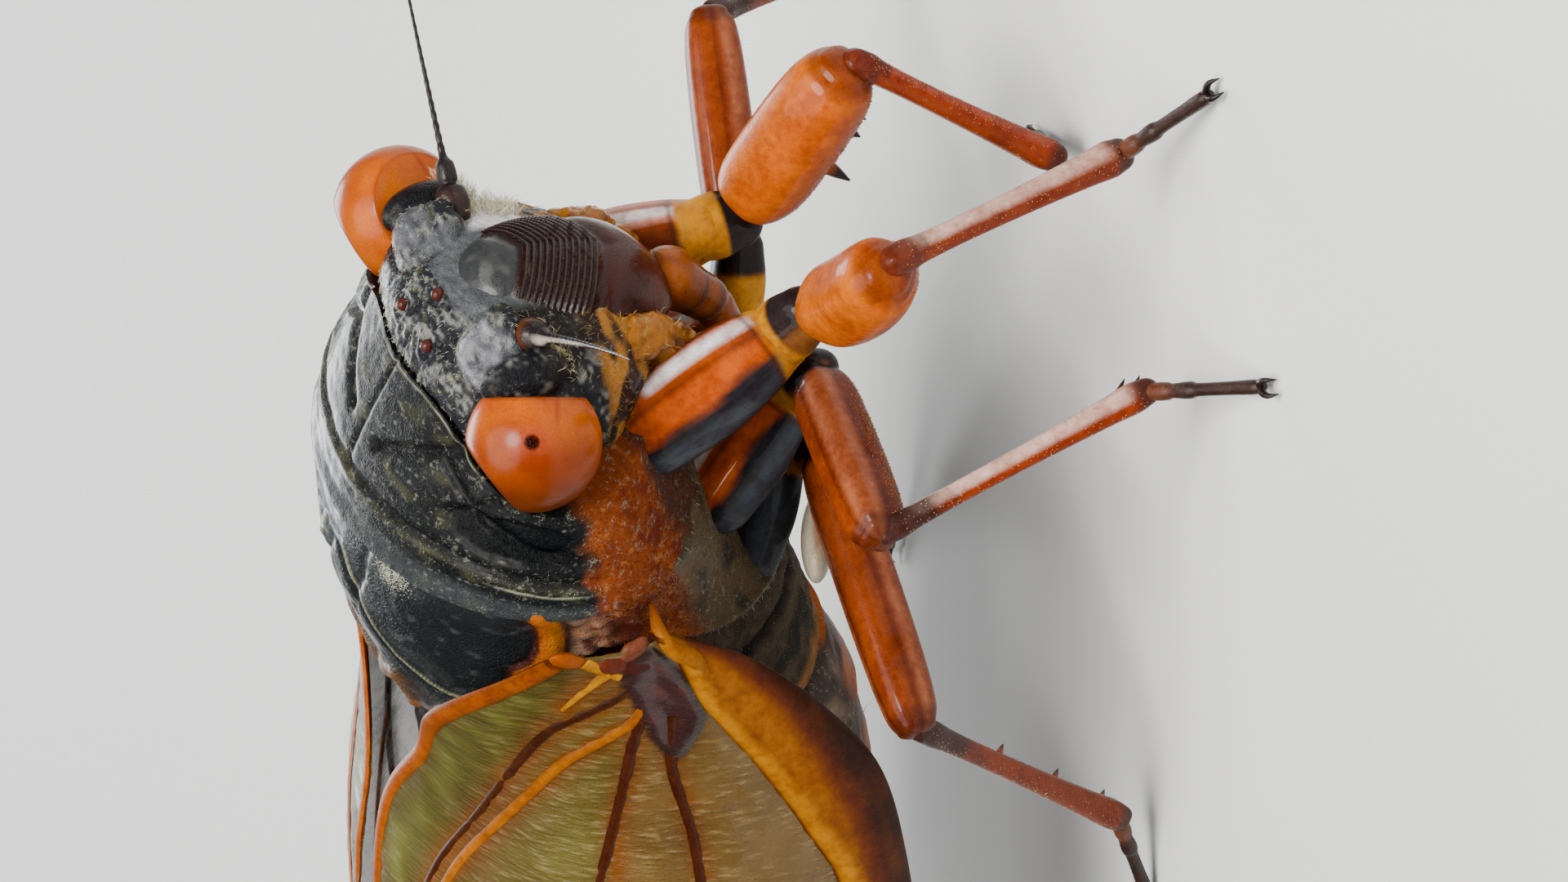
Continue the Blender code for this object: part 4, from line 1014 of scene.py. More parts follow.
print("eyes")
for side, word in ((1, "left"), (-1, "right")):
    mirror = np.array((side, 1, 1))
    centre, flatWay = eye["centre"] * mirror, eye["flatWay"] * mirror
    piece = ellipsoid(f"compound_eye_{word}", centre, eye["radii"], eye["rings"], eye["sides"])
    place = coordinates(piece)
    depth = (place - centre) @ flatWay - eye["flat"]
    soft = np.maximum(depth * 0.94, 0)
    restWay = direction(eye["restWay"] * mirror)
    pressed = np.maximum((place - centre) @ restWay - eye["rest"], 0)
    pressed -= eye["give"] * (1 - np.exp(-pressed / eye["give"]))
    putCoordinates(piece, place - flatWay * soft[:, None] - restWay * pressed[:, None])
    out = unit((place - centre) / eye["radii"])
    look, low = onSide(cameraBack, side), out @ onSide(imageDown, side)
    paint = Paint(place, (174, 84, 0), 0.3)
    # Painted shade: the eye darkens towards the side that is lowest in the camera's picture
    paint.lay(ease(low, -0.45, 0.4), (126, 51, 0), 0.34)
    paint.lay(ease(low, 0.3, 0.95) * 0.85, (76, 33, 2), 0.36)
    # Painted highlight: a slightly brighter orange band just inside the flat face
    paint.lay(bell(depth + 0.12, 0.24) * 0.7, (184, 84, 0), 0.3)
    paint.lay(bell(depth + 0.01, 0.04) * 0.5, (104, 28, 2), 0.3)
    # Painted glare round the pseudopupil: a deeper red ring and a pale pinkish glow, centred where
    # the eye faces the camera
    away = np.linalg.norm(out - direction(look), axis=1)
    paint.lay(bell(away, 0.45) * 0.5, (138, 40, 0), 0.26)
    paint.lay(bell(away, 0.24) * 0.5, (160, 70, 54), 0.24)
    streak = bell(out @ onSide(imageRight, side) - 0.36, 0.035) * ease(-low, 0.1, 0.4)
    paint.lay(streak * 0.6, (120, 30, 6), 0.3)
    # Painted dark pseudopupil, on the point of the eye facing the camera
    paint.lay(1 - ease(away, 0.09, 0.14), (5, 2, 4), 0.2)
    settle(paint.keep(piece), "eye", [f"eye_{word}"])

print("face")
clypeus = {"centre": (0.0, -0.4, -0.72), "radii": (1.5, 1.1, 2.3), "tilt": 23, "spacing": 0.134,
           "slant": 0.35, "ridged": (-0.34, 1.28)}
clypeusTilt = Matrix.Rotation(math.radians(clypeus["tilt"]), 3, "X")


def clypeusMarks(points):
    # The cross ridges bend down to both sides
    rank = points[:, 2] - clypeus["slant"] * np.abs(points[:, 0])
    return rank, between(rank, *clypeus["ridged"], 0.06), np.cos(turn * rank / clypeus["spacing"])


def clypeusRelief(points, local):
    rank, ridged, wave = clypeusMarks(points)
    front = -local[:, 1]
    lobe = 0.1 * bell(rank + 1.1, 0.5) - 0.1 * bell(rank + 0.5, 0.18)
    lobe -= 0.04 * bell(rank - 1.42, 0.08)
    return ridged * ease(front, 0.0, 0.25) * (0.026 * wave + 0.03) + lobe * ease(front, -0.3, 0.4)


piece = ellipsoid("clypeus_shell", clypeus["centre"], clypeus["radii"], 300, 160, clypeusTilt,
                  clypeusRelief)
place = coordinates(piece)
local = (place - np.array(clypeus["centre"])) @ np.array(clypeusTilt)
rank, ridged, wave = clypeusMarks(local)
paint = Paint(place, (36, 17, 14), 0.24)
paint.lay(ease(-rank, 0.2, 0.6), (50, 17, 9), 0.2)
paint.lay(ease(-rank, 1.2, 2.0) * 0.7, (88, 32, 12), 0.24)
paint.lay(ridged * ease(wave, 0.0, 0.9) * 0.6, (66, 46, 38), 0.3)
paint.lay(ridged * ease(-wave, 0.1, 0.9) * 0.9, (10, 6, 7), 0.4)
crown = ease(rank, 1.3, 1.42)
paint.lay(crown, (46, 47, 48), 0.3)
paint.blot(0.5, 98, 0.0, 0.9, crown * 0.6, (86, 86, 84), 0.4)
paint.lay(bell(np.abs(local[:, 0]) - 1.3, 0.12) * (local[:, 2] < 1.2) * 0.5, (30, 16, 14), 0.35)
settle(paint.keep(piece), "face", ["clypeus"])

lora = []
for side in (1, -1):
    lora.append(ellipsoid("lorum", (1.6 * side, -0.1, -1.4), (0.52, 0.46, 0.98), 60, 60,
                          relief=lambda p, _: 0.05 * wobble(p, 0.5, 91)
                          + 0.03 * wobble(p, 0.2, 95)))
    lora.append(ellipsoid("cheekPlate", (1.45 * side, 0.5, -2.1), (0.42, 0.62, 0.66), 50, 60,
                          relief=lambda p, _: 0.05 * wobble(p, 0.45, 92)
                          + 0.03 * wobble(p, 0.2, 96)))
piece = joined("lora", lora)
place = coordinates(piece)
paint = Paint(place, (146, 88, 18), 0.3)
paint.blot(0.5, 93, 0.0, 0.8, 0.8, (84, 36, 12), 0.36)
paint.blot(0.3, 97, 0.5, 1.0, 0.5, (196, 160, 90), 0.3)
paint.lay(ease(place[:, 2], -0.95, -0.7), (34, 22, 18), 0.4)
lorumSkin = Skin(piece, place[:, 1], np.arctan2(place[:, 0], place[:, 2]), wholeTile)
headCoat.grow(lorumSkin, 120, lambda p, c: np.ones(len(p)), (0, 0.3, -0.8), 0.22, 0.013,
              (170, 130, 60), (230, 204, 130), 85, 0.5, 0.6)
settle(paint.keep(piece), "face")

beak = {
    "path": ((0, 0.2, -2.85), (0, 0.7, -3.3), (0, 1.1, -3.65), (0, 1.8, -4.0), (0, 2.5, -4.25),
             (0, 3.5, -4.5)),
    "radii": (0.62, 0.5, 0.46, 0.36, 0.3, 0.2),
}
skin = tube("beak", beak["path"], beak["radii"], 28, 70,
            shape=lambda s, a: 1 - 0.1 * bell(s - 0.36, 0.02) - 0.1 * bell(s - 0.62, 0.02)
            - 0.14 * bell(a, 0.25))
paint = Paint(skin.points, (136, 66, 8), 0.3)
paint.blot(0.7, 94, 0.1, 0.8, 0.6, (78, 30, 8), 0.3)
paint.lay(bell(skin.along - 0.16, 0.02) * 0.8, (44, 20, 10), 0.35)
paint.lay(ease(skin.along, 0.55, 0.8), (22, 16, 16), 0.3)
paint.lay(bell(skin.along - 0.3, 0.03) * 0.7, (52, 24, 12), 0.35)
settle(paint.keep(skin.piece), "face", ["rostrum"])

antenna = {"root": (2.0, -1.4, 0.75), "way": (0.79, -0.6, -0.1), "jointLength": 0.22}
for side, word in ((1, "left"), (-1, "right")):
    root = np.array(antenna["root"]) * (side, 1, 1)
    way = direction(np.array(antenna["way"]) * (side, 1, 1))
    bow = np.array((0, 0.1, 0.6 if side < 0 else -0.1))
    stout = 1.3 if side < 0 else 1.0
    # Distance from the root and radius
    marks = ((-0.25, 0.3), (0.0, 0.34), (0.25, 0.28), (0.34, 0.17), (0.42, 0.2), (0.75, 0.18),
             (0.86, 0.1 * stout), (1.0, 0.075 * stout), (1.6, 0.06 * stout), (2.6, 0.046 * stout),
             (3.8, 0.034 * stout), (5.0, 0.024), (5.95, 0.012))
    path = [root + way * at + bow * 0.022 * at * at for at, _ in marks]
    joints = (marks[-1][0] - marks[0][0]) / antenna["jointLength"]
    skin = tube(f"feeler_{word}", path, [r for _, r in marks], 20, 220,
                shape=lambda s, a: 1 + 0.1 * np.cos(s * joints * turn) * (s > 0.2))
    paint = Paint(skin.points, (28, 22, 22), 0.35)
    paint.lay(1 - ease(skin.along, 0.06, 0.09), (76, 38, 18) if side < 0 else (46, 30, 26), 0.4)
    # Painted highlight: a pale streak along the upper side of the base, strong on the right antenna
    # and faint on the left
    paint.lay(ease(skin.out @ (0, 0.3, 0.9), 0.6, 0.9) * between(skin.along, 0.12, 0.5, 0.05)
              * (0.7 if side < 0 else 0.2), (186, 170, 160), 0.2)
    settle(paint.keep(skin.piece), "face", [f"antenna_{word}"])

print("legs")
# Root, trochanter and hip in the body frame; knee, ankle and claw over the floor
legs = {
    "fore_right": ((-2.35, 1.6, -1.5), (-1.86, 0.7, -4.32), (-2.21, -0.03, -4.76),
                   (-5.06, -3.95, 6.43), (-4.17, -4.36, 1.3), (-5.49, -6.63, 0.22)),
    "fore_left": ((2.35, 1.6, -1.5), (1.6, 0.85, -4.15), (1.55, 0.8, -4.86),
                  (0.62, -3.86, 4.76), (-0.45, -1.02, 0.8), (1.39, 0.17, 0.22)),
    "mid_right": ((-1.9, 4.4, -3.0), (-1.29, 2.88, -4.8), (-1.88, 1.92, -5.1),
                  (-6.44, 1.69, 6.85), (-6.48, -0.32, 1.5), (-8.69, -1.99, 0.22)),
    "mid_left": ((1.9, 4.4, -3.0), (1.35, 2.94, -4.8), (1.9, 1.94, -5.09),
                 (5.5, -1.18, 5.51), (8.0, 0.6, 1.0), (9.9, -0.5, 0.22)),
    "hind_right": ((-1.5, 6.6, -3.7), (-0.82, 4.85, -4.75), (-1.4, 4.35, -5.4),
                   (-7.06, 6.51, 6.09), (-5.94, 11.85, 0.95), (-6.13, 14.1, 0.22)),
    "hind_left": ((1.5, 6.6, -3.7), (0.82, 4.85, -4.75), (1.4, 4.35, -5.4),
                  (6.2, 7.8, 5.4), (6.04, 13.27, 1.0), (6.58, 15.94, 0.22)),
}
# Radii of the coxa, hip, middle of the femur, knee, tibia and tarsus
legRadii = {
    "fore": (0.95, 0.6, 1.06, 0.5, 0.34, 0.2), "mid": (0.8, 0.5, 0.62, 0.42, 0.32, 0.19),
    "hind": (0.8, 0.5, 0.6, 0.42, 0.32, 0.19),
}
legColours = {
    "fore": ((180, 82, 0), (134, 46, 0)), "mid": ((116, 46, 12), (78, 25, 6)),
    "hind": ((98, 37, 8), (66, 20, 6)),
}
# How slim the femur is, what it leaves free at the hip and the knee, and how far it sags
femurFits = {"fore_right": (0.79, 0.5, 0.25, 0.22), "fore_left": (0.86, 0.2, 0.3, 0.0)}
# Spines: share of the length they stand at, length and radius
legSpines = {
    "fore": {"femur": ((0.36, 0.75, 0.2), (0.6, 0.36, 0.15), (0.7, 0.24, 0.1)), "tibia": ()},
    "mid": {"femur": (), "tibia": ((0.9, 0.5, 0.1), (0.97, 0.35, 0.08))},
    "hind": {"femur": (), "tibia": ((0.4, 0.5, 0.1), (0.68, 0.5, 0.1), (0.92, 0.5, 0.1),
                                    (0.98, 0.36, 0.08))},
}


def thorn(root, way, length, radius, colour, roughness, darkFrom, darkTo, dark):
    way = direction(way)
    path = [root - way * radius, root + way * length * 0.45, root + way * length]
    skin = tube("thorn", path, (radius, radius * 0.65, radius * 0.12), 12, 14)
    paint = Paint(skin.points, colour, roughness)
    paint.lay(ease(skin.along, darkFrom, darkTo), dark, 0.25)
    return paint.keep(skin.piece)


def pointsAlong(start, end, shares):
    return [start + (end - start) * share for share in shares]


def legTile(number, part):
    return (0.02 + 0.16 * number, 0.02 + 0.24 * part, 0.15, 0.22)


for number, (name, joints) in enumerate(legs.items()):
    pair, word = name.split("_")
    side, fore = -1 if word == "right" else 1, pair == "fore"
    coxaR, hipR, midR, kneeR, tibiaR, tarsusR = legRadii[pair]
    root, trochanter, hip = (np.array(point) for point in joints[:3])
    knee, ankle, claw = (np.array(floorToBody @ Vector(point)) for point in joints[3:])
    down = onSide(imageDown, side)
    bright, deep = legColours[pair]
    slim, hold, short, sag = femurFits.get(name, (1.0, 0.0, 0.0, 0.0))
    limbs = []

    # Coxa and its yellow ring, the trochanter
    coxa = tube("coxa", pointsAlong(root, trochanter, (0, 0.45, 0.8, 1)),
                (coxaR * 0.95, coxaR, coxaR * 0.86, hipR * 1.1), 40, 60, down,
                lambda s, a: 1 + 0.05 * np.cos(2 * a) + 0.03 * np.cos(5 * a), legTile(number, 0))
    paint = Paint(coxa.points, (192, 82, 0), 0.28)
    paint.blot(1.2, 101, 0.0, 0.8, 0.4, (134, 40, 0), 0.3)
    facing = np.cos(coxa.angle)  # 1 towards the rear, -1 towards the face
    outer = ease(coxa.out @ onSide(cameraBack, side), -0.1, 0.2)
    dark = ease(facing + 0.25 * wobble(coxa.points, 1.6, 102), 0.12, 0.35)
    paint.lay(dark, (24, 23, 30), 0.34)
    # Painted sheen: a bluish-grey band over the dark part, on the side facing the camera
    paint.lay(dark * bell(facing - 0.8, 0.2) * outer * 0.5, (74, 84, 98), 0.4)
    paint.lay(bell(facing + 0.5, 0.07) * 0.9, (28, 12, 10), 0.3)
    # Painted highlight: a white glossy streak along the coxa, on the side facing the camera
    paint.lay(between(facing, -0.88, -0.66, 0.03) * outer * between(coxa.along, 0.05, 0.95, 0.04),
              (238, 236, 240), 0.12)
    paint.lay(ease(-facing, 0.9, 0.97) * 0.8, (70, 30, 18), 0.3)
    paint.lay(ease(coxa.along, 0.86, 0.92), (190, 126, 8), 0.35)
    paint.lay(bell(coxa.along - 0.86, 0.02) * 0.7, (70, 34, 16), 0.35)
    limbs.append(paint.keep(coxa.piece))
    ring = tube("trochanter", pointsAlong(trochanter, hip, (-0.05, 0.5, 1)),
                (hipR * 1.04, hipR * 1.1, hipR * 0.98), 32, 24, down,
                lambda s, a: 1 + 0.05 * np.cos(3 * a), legTile(number, 0))
    paint = Paint(ring.points, (190, 128, 10), 0.32)
    paint.lay(ease(ring.along, 0.55, 0.7), (34, 26, 28), 0.34)
    paint.lay(ease(np.cos(ring.angle), 0.5, 0.8) * 0.5, (150, 90, 30), 0.4)
    limbs.append(paint.keep(ring.piece))

    # Femur, a barrel in the fore leg and a keeled rod in the others
    thigh, shin = direction(knee - hip), direction(ankle - knee)
    start = hip + thigh * (hipR * 0.55 + hold)
    inner = direction(shin - thigh * (shin @ thigh))
    marks = (0, 0.04, 0.1, 0.2, 0.4, 0.6, 0.8, 0.9, 0.96, 1)
    wide = ((0.55, 0.74, 0.88, 0.97, 1.0, 1.0, 0.96, 0.88, 0.76, 0.6) if fore else
            (0.72, 0.84, 0.93, 0.98, 1.0, 1.0, 0.96, 0.9, 0.82, 0.66))
    keel, bulge = (0.035, 0.04) if fore else (0.07, 0.0)
    hang = (imageRight * 0.6 + imageDown * 0.8) * sag
    path = [point + hang * math.sin(math.pi * min(0.9, share)) ** 0.5
            for point, share in zip(pointsAlong(start, knee - thigh * short, marks), marks)]
    femur = tube("femur", path, [midR * slim * k for k in wide], 48, 90, inner,
                 lambda s, a: 1 + keel * np.cos(4 * a) + bulge * np.cos(a), legTile(number, 1),
                 caps=(1, 0.5))
    paint = Paint(femur.points, bright, 0.22)
    facing = np.cos(femur.angle)
    lump = wobble(femur.points, 1.5, 103)
    paint.lay(ease(facing, 0.2, 1.0) * 0.55 + ease(lump, 0.2, 1.0) * 0.25, deep, 0.28)
    paint.lay(ease(-facing, 0.55, 0.95) * 0.35, (184, 100, 2) if fore else (150, 66, 14), 0.2)
    if not fore:
        flank = np.abs(np.sin(femur.angle))
        paint.lay(bell(flank - 0.72, 0.06) * 0.5, (56, 20, 12), 0.3)
        # Painted highlight: a pale pinkish line along the side keels
        paint.lay(bell(flank - 0.93, 0.08) * 0.5, (164, 104, 72), 0.22)
    paint.lay(1 - ease(femur.along, 0.02, 0.05), (30, 22, 24), 0.32)
    paint.lay(ease(femur.along, 0.93, 0.99) * 0.7, (96, 32, 6) if fore else (56, 18, 8), 0.3)
    limbs.append(paint.keep(femur.piece))
    legCoat.grow(femur, 620, lambda p, c: ease(np.cos(femur.angle[c]), 0.6, 0.95)
                 * between(femur.along[c], 0.1, 0.97, 0.03), inner * 0.6 + thigh * 0.6,
                 0.36, 0.016, (150, 92, 36), (220, 172, 100), 200 + number, 0.6, 0.35)
    for at, reach, thick in legSpines[pair]["femur"]:
        foot = start + (knee - start) * at + inner * midR * 0.8
        limbs.append(thorn(foot, inner - thigh * 0.3, reach, thick, bright, 0.25, 0.25, 0.6,
                           (34, 18, 16)))

    # Tibia
    start = knee + shin * kneeR * 0.35
    marks = (0, 0.05, 0.12, 0.3, 0.6, 0.86, 0.96, 1)
    wide = [tibiaR * k for k in (0.85, 0.88, 0.76, 0.7, 0.76, 0.9, 1.0, 0.9)]
    path = [point - inner * 0.08 * math.sin(math.pi * share)
            for point, share in zip(pointsAlong(start, ankle, marks), marks)]
    tibia = tube("tibia", path, wide, 40, 90, inner, lambda s, a: 1 + 0.07 * np.cos(4 * a),
                 legTile(number, 2))
    paint = Paint(tibia.points, (124, 44, 6) if fore else (112, 42, 10), 0.3)
    facing = np.cos(tibia.angle)
    paint.lay(ease(facing, 0.35, 0.9) * 0.5, (138, 40, 2), 0.26)
    # Painted highlight: a pale pinkish stripe along the upper side; the same side gets more pale
    # hairs below
    upper = ease(tibia.out @ (0, -0.93, 0.36), 0.45, 0.9)
    paint.lay(upper * between(tibia.along, 0.1, 0.95, 0.05) * 0.75, (214, 182, 170), 0.22)
    base, stained = (0.12, 0.5) if fore else (0.26, 0.9)
    paint.lay((1 - ease(tibia.along, base * 0.6, base)) * stained, (40, 28, 28), 0.32)
    paint.blot(0.5, 105, -0.4, 0.6, bell(tibia.along - base, 0.02) * 0.6, (40, 28, 28), 0.32)
    paint.lay(ease(tibia.along, 0.93, 0.99) * 0.8, (50, 26, 20), 0.34)
    limbs.append(paint.keep(tibia.piece))
    legCoat.grow(tibia, 560, lambda p, c: between(tibia.along[c], 0.04, 0.99, 0.02)
                 * (0.2 + upper[c] + ease(np.abs(np.cos(tibia.angle[c])), 0.4, 0.9)), shin, 0.26,
                 0.015, (196, 150, 100), (246, 228, 196), 220 + number, 0.4, 0.35)
    innerShin = direction(shin * (shin @ thigh) - thigh)
    for at, reach, thick in legSpines[pair]["tibia"]:
        foot = start + (ankle - start) * at + innerShin * tibiaR * 0.6
        limbs.append(thorn(foot, innerShin + shin, reach, thick, (120, 56, 28), 0.3, 0.4, 0.8,
                           (24, 14, 14)))
    settle(joined(f"leg_{name}", limbs), "limb",
           [f"{pair}_coxa_{word}", f"{pair}_femur_{word}", f"{pair}_tibia_{word}"])

    # Three-jointed tarsus with its pair of claws, lying on the floor
    foot = direction(claw - ankle)
    upward = np.array(floorToBody.to_3x3() @ Vector((0, 0, 1)))
    path = pointsAlong(ankle + foot * tibiaR * 0.5, claw,
                       (0, 0.1, 0.16, 0.2, 0.32, 0.38, 0.42, 0.7, 0.95, 1))
    wide = [tarsusR * k for k in (0.9, 0.95, 0.9, 0.76, 0.88, 0.86, 0.7, 0.7, 0.76, 0.6)]
    toe = tube("toe", path, wide, 28, 70, upward, tile=legTile(number, 3))
    ahead = direction(foot - upward * (foot @ upward))
    across = np.cross(upward, ahead)
    legCoat.grow(toe, 160, lambda p, c: np.ones(len(p)), foot, 0.2, 0.013, (90, 60, 40),
                 (190, 150, 100), 240 + number, 0.4, 0.4)
    paint = Paint(toe.points, (44, 28, 24), 0.35)
    paint.lay((1 - ease(toe.along, 0.1, 0.3)) * 0.6, (110, 60, 36), 0.35)
    toes = [paint.keep(toe.piece)]
    for way in (1, -1):
        marks = ((-0.05, 0, 0.0), (0.14, 0.1, 0.05), (0.32, 0.15, 0.02), (0.48, 0.14, -0.12))
        path = [claw + ahead * a + across * b * way + upward * c for a, b, c in marks]
        hook = tube("hook", path, (0.1, 0.08, 0.055, 0.014), 16, 24, upward)
        paint = Paint(hook.points, (24, 16, 16), 0.25)
        paint.lay(1 - ease(hook.along, 0.0, 0.4), (60, 34, 26), 0.3)
        toes.append(paint.keep(hook.piece))
    settle(joined(f"foot_{name}", toes), "foot", [f"{pair}_tarsus_{word}"])

print("wings")
# Stations of the folded wing: y, then x and z of its front edge, of the guide of its bend and of
# its rear edge
wingSheet = (
    (4.4, 4.95, -0.6, 5.1, 0.4, 4.85, 1.5), (5.6, 5.1, -2.3, 5.6, 0.1, 4.0, 2.3),
    (7.4, 5.45, -3.85, 6.2, 0.6, 2.55, 3.15), (9.0, 5.8, -4.75, 6.8, 1.5, 1.3, 3.2),
    (11.0, 6.2, -5.1, 7.2, 2.1, 0.4, 3.45), (14.0, 6.5, -5.3, 7.3, 2.5, 0.4, 3.8),
    (18.0, 6.5, -5.4, 7.0, 2.5, 0.4, 3.8), (24.0, 6.0, -5.1, 5.6, 2.0, 0.4, 3.3),
    (30.0, 5.2, -4.7, 4.6, 1.2, 0.4, 2.5), (36.0, 4.2, -4.2, 3.6, 0.3, 0.5, 1.7),
    (41.0, 3.4, -3.8, 2.8, -0.3, 0.55, 1.1),
)
foreWing = {
    "inset": 0.0, "thickness": 0.05, "columns": 260, "rows": 90,
    "low": ((4.5, 0.0), (27, 0.0), (32.5, 0.02), (36.5, 0.12), (38.8, 0.28), (39.3, 0.4)),
    "high": ((4.5, 0.97), (5.9, 1.0), (7.6, 1.0), (9.6, 0.97), (11.8, 1.0), (17, 1.0), (22, 0.985),
             (26, 0.94), (30, 0.86), (35, 0.72), (38.3, 0.54), (39.3, 0.4)),
}
hindWing = {
    "inset": 1.06, "thickness": 0.05, "columns": 120, "rows": 40,
    "low": ((8, 0.16), (11, 0.13), (16, 0.14), (21, 0.18), (24.6, 0.26), (25.8, 0.38)),
    "high": ((8, 0.42), (9.6, 0.48), (12.5, 0.54), (17, 0.58), (21.5, 0.57), (25.2, 0.5),
             (25.8, 0.38)),
}
# Veins: their lines of (y, share of the width), half widths in mm at both ends, and colour
amberVein, darkVein, paleVein = (146, 66, 0), (60, 24, 8), (150, 88, 0)
foreVeins = (
    (((5.2, 0.2), (6.6, 0.19), (8.5, 0.14), (11, 0.08), (16, 0.065), (22, 0.07), (27, 0.1)),
     0.16, 0.08, paleVein),
    (((18, 0.065), (23, 0.15), (28.5, 0.21), (32.5, 0.24), (35.6, 0.22)), 0.1, 0.07, amberVein),
    (((6.4, 0.38), (7.6, 0.4), (9.3, 0.355), (11.5, 0.33), (18, 0.34), (23.5, 0.3), (32.5, 0.36),
      (37.4, 0.36)), 0.11, 0.07, darkVein),
    (((18, 0.34), (23, 0.42), (29.5, 0.47), (33, 0.51), (36.7, 0.5)), 0.08, 0.06, amberVein),
    (((6.1, 0.47), (7.1, 0.5), (9, 0.515), (15, 0.56), (20.5, 0.56), (28, 0.63), (33.4, 0.66)),
     0.12, 0.07, darkVein),
    (((15, 0.56), (19.5, 0.7), (23.5, 0.79), (27.4, 0.82)), 0.08, 0.06, amberVein),
    (((5.5, 0.5), (5.8, 0.57), (6.2, 0.66), (6.8, 0.735), (8.5, 0.772), (10.3, 0.805),
      (12.1, 0.86), (15, 0.925), (18.0, 0.985)), 0.11, 0.05, (58, 26, 8)),
    (((6.1, 0.47), (6.5, 0.51), (7.0, 0.59), (7.65, 0.66), (8.9, 0.715), (10.3, 0.765),
      (12, 0.825), (15, 0.9), (18.4, 0.97)), 0.13, 0.08, (146, 82, 0)),
    (((23.5, 0.16), (24, 0.3)), 0.06, 0.06, amberVein),
    (((29, 0.33), (29.5, 0.47)), 0.06, 0.06, amberVein),
    (((24.5, 0.44), (24, 0.59)), 0.06, 0.06, amberVein),
    (((29, 0.215), (29.3, 0.34)), 0.06, 0.06, amberVein),
    (((32.5, 0.1), (35.6, 0.2), (37.3, 0.33), (37.2, 0.45), (34.6, 0.62), (30.5, 0.76), (25, 0.88),
      (19.5, 0.95)), 0.06, 0.06, amberVein),
    (((4.62, 0.74), (4.9, 0.63), (5.2, 0.54)), 0.16, 0.09, (168, 112, 4)),
    (((5.0, 0.58), (5.24, 0.65), (5.66, 0.71), (6.14, 0.74)), 0.14, 0.05, (168, 112, 4)),
)
basalCell = (
    (4.6, 0.22), (5.6, 0.285), (6.5, 0.285), (6.86, 0.32), (7.4, 0.37), (7.46, 0.4), (6.86, 0.45),
    (6.02, 0.49), (5.42, 0.53), (4.82, 0.46),
)
hindVeins = (
    (((8.2, 0.28), (13, 0.22), (19, 0.24), (23.5, 0.32)), 0.08, 0.05, amberVein),
    (((8.2, 0.3), (14, 0.34), (20, 0.38), (24.2, 0.42)), 0.08, 0.05, amberVein),
    (((8.2, 0.34), (13, 0.43), (18.5, 0.5), (22, 0.5)), 0.08, 0.05, amberVein),
)
# The thick front edge: its inner rim, and the line where its yellow part starts
costa = {
    "front": 4.42, "rear": 33, "steps": 260,
    "rim": ((4.42, 0.12), (5.0, 0.21), (5.5, 0.27), (6.2, 0.285), (6.9, 0.255), (8.1, 0.205),
            (9.7, 0.15), (11.2, 0.105), (16, 0.085), (24, 0.075), (33, 0.06)),
    "yellow": ((4.42, 0.0), (4.8, 0.0), (5.5, 0.03), (6.6, 0.05), (7.6, 0.06), (9.4, 0.058),
               (11.1, 0.04), (16, 0.036), (33, 0.03)),
}
vein = {"span": 8, "density": 5, "sides": 10, "rise": 0.02}


def sheetPoint(y, across, side):
    frontX, frontZ, guideX, guideZ, rearX, rearZ = smoothAt(y, wingSheet)
    shares = ((1 - across) ** 2, 2 * across * (1 - across), across**2)
    x = shares[0] * frontX + shares[1] * guideX + shares[2] * rearX
    z = shares[0] * frontZ + shares[1] * guideZ + shares[2] * rearZ
    return np.stack((x * side, y, z), axis=1)


def sheetNormal(y, across, side):
    alongWay = sheetPoint(y + 0.05, across, side) - sheetPoint(y - 0.05, across, side)
    overWay = sheetPoint(y, across + 0.01, side) - sheetPoint(y, across - 0.01, side)
    return unit(np.cross(alongWay, overWay)) * side


def sheetWidth(y):
    marks = [sheetPoint(y, np.full(len(y), k / 12), 1) for k in range(13)]
    return sum(np.linalg.norm(b - a, axis=1) for a, b in zip(marks, marks[1:]))


def inMillimetres(line):
    # From (y, share of the width) to (y, mm over the wing)
    ys, across = np.array(line, float).T
    return list(zip(ys, across * sheetWidth(ys)))


def veinTube(line, wide, narrow, colour, side, inset, flat=0.5):
    line = np.array(line, float)
    pieces = np.hypot(np.diff(line[:, 0]), np.diff(line[:, 1]) * vein["span"])
    lengths = np.concatenate(([0], np.cumsum(pieces)))
    steps = max(8, int(lengths[-1] * vein["density"]))
    ys, across = smoothAt(np.linspace(0, lengths[-1], steps), np.column_stack((lengths, line)))
    path = sheetPoint(ys, across, side)
    normal = sheetNormal(ys, across, side)
    path = path + normal * (vein["rise"] - inset)
    share = np.linspace(0, 1, steps)
    radii = wide * (1 - share) + narrow * share
    ways = unit(np.gradient(path, axis=0))
    sideways = np.cross(normal, ways)

    def place(ring, angle):
        i = np.clip(ring - 1, 0, steps - 1)
        end = (ring > 0) & (ring < steps + 1)
        out = normal[i] * (np.cos(angle) * flat)[:, None] + sideways[i] * np.sin(angle)[:, None]
        return path[i] + out * (radii[i] * end)[:, None]

    made, ring, angle = ball("vein", steps, vein["sides"], place)
    paint = Paint(coordinates(made), colour, 0.3)
    # Painted light and shade: each vein is lighter on one flank and darker on the other
    paint.lay(ease(np.sin(angle), 0.2, 1.0) * 0.3, [min(255, 1.2 * c + 20) for c in colour], 0.3)
    paint.lay(ease(-np.sin(angle), 0.3, 1.0) * 0.5, [0.4 * c for c in colour], 0.35)
    return paint.keep(made)


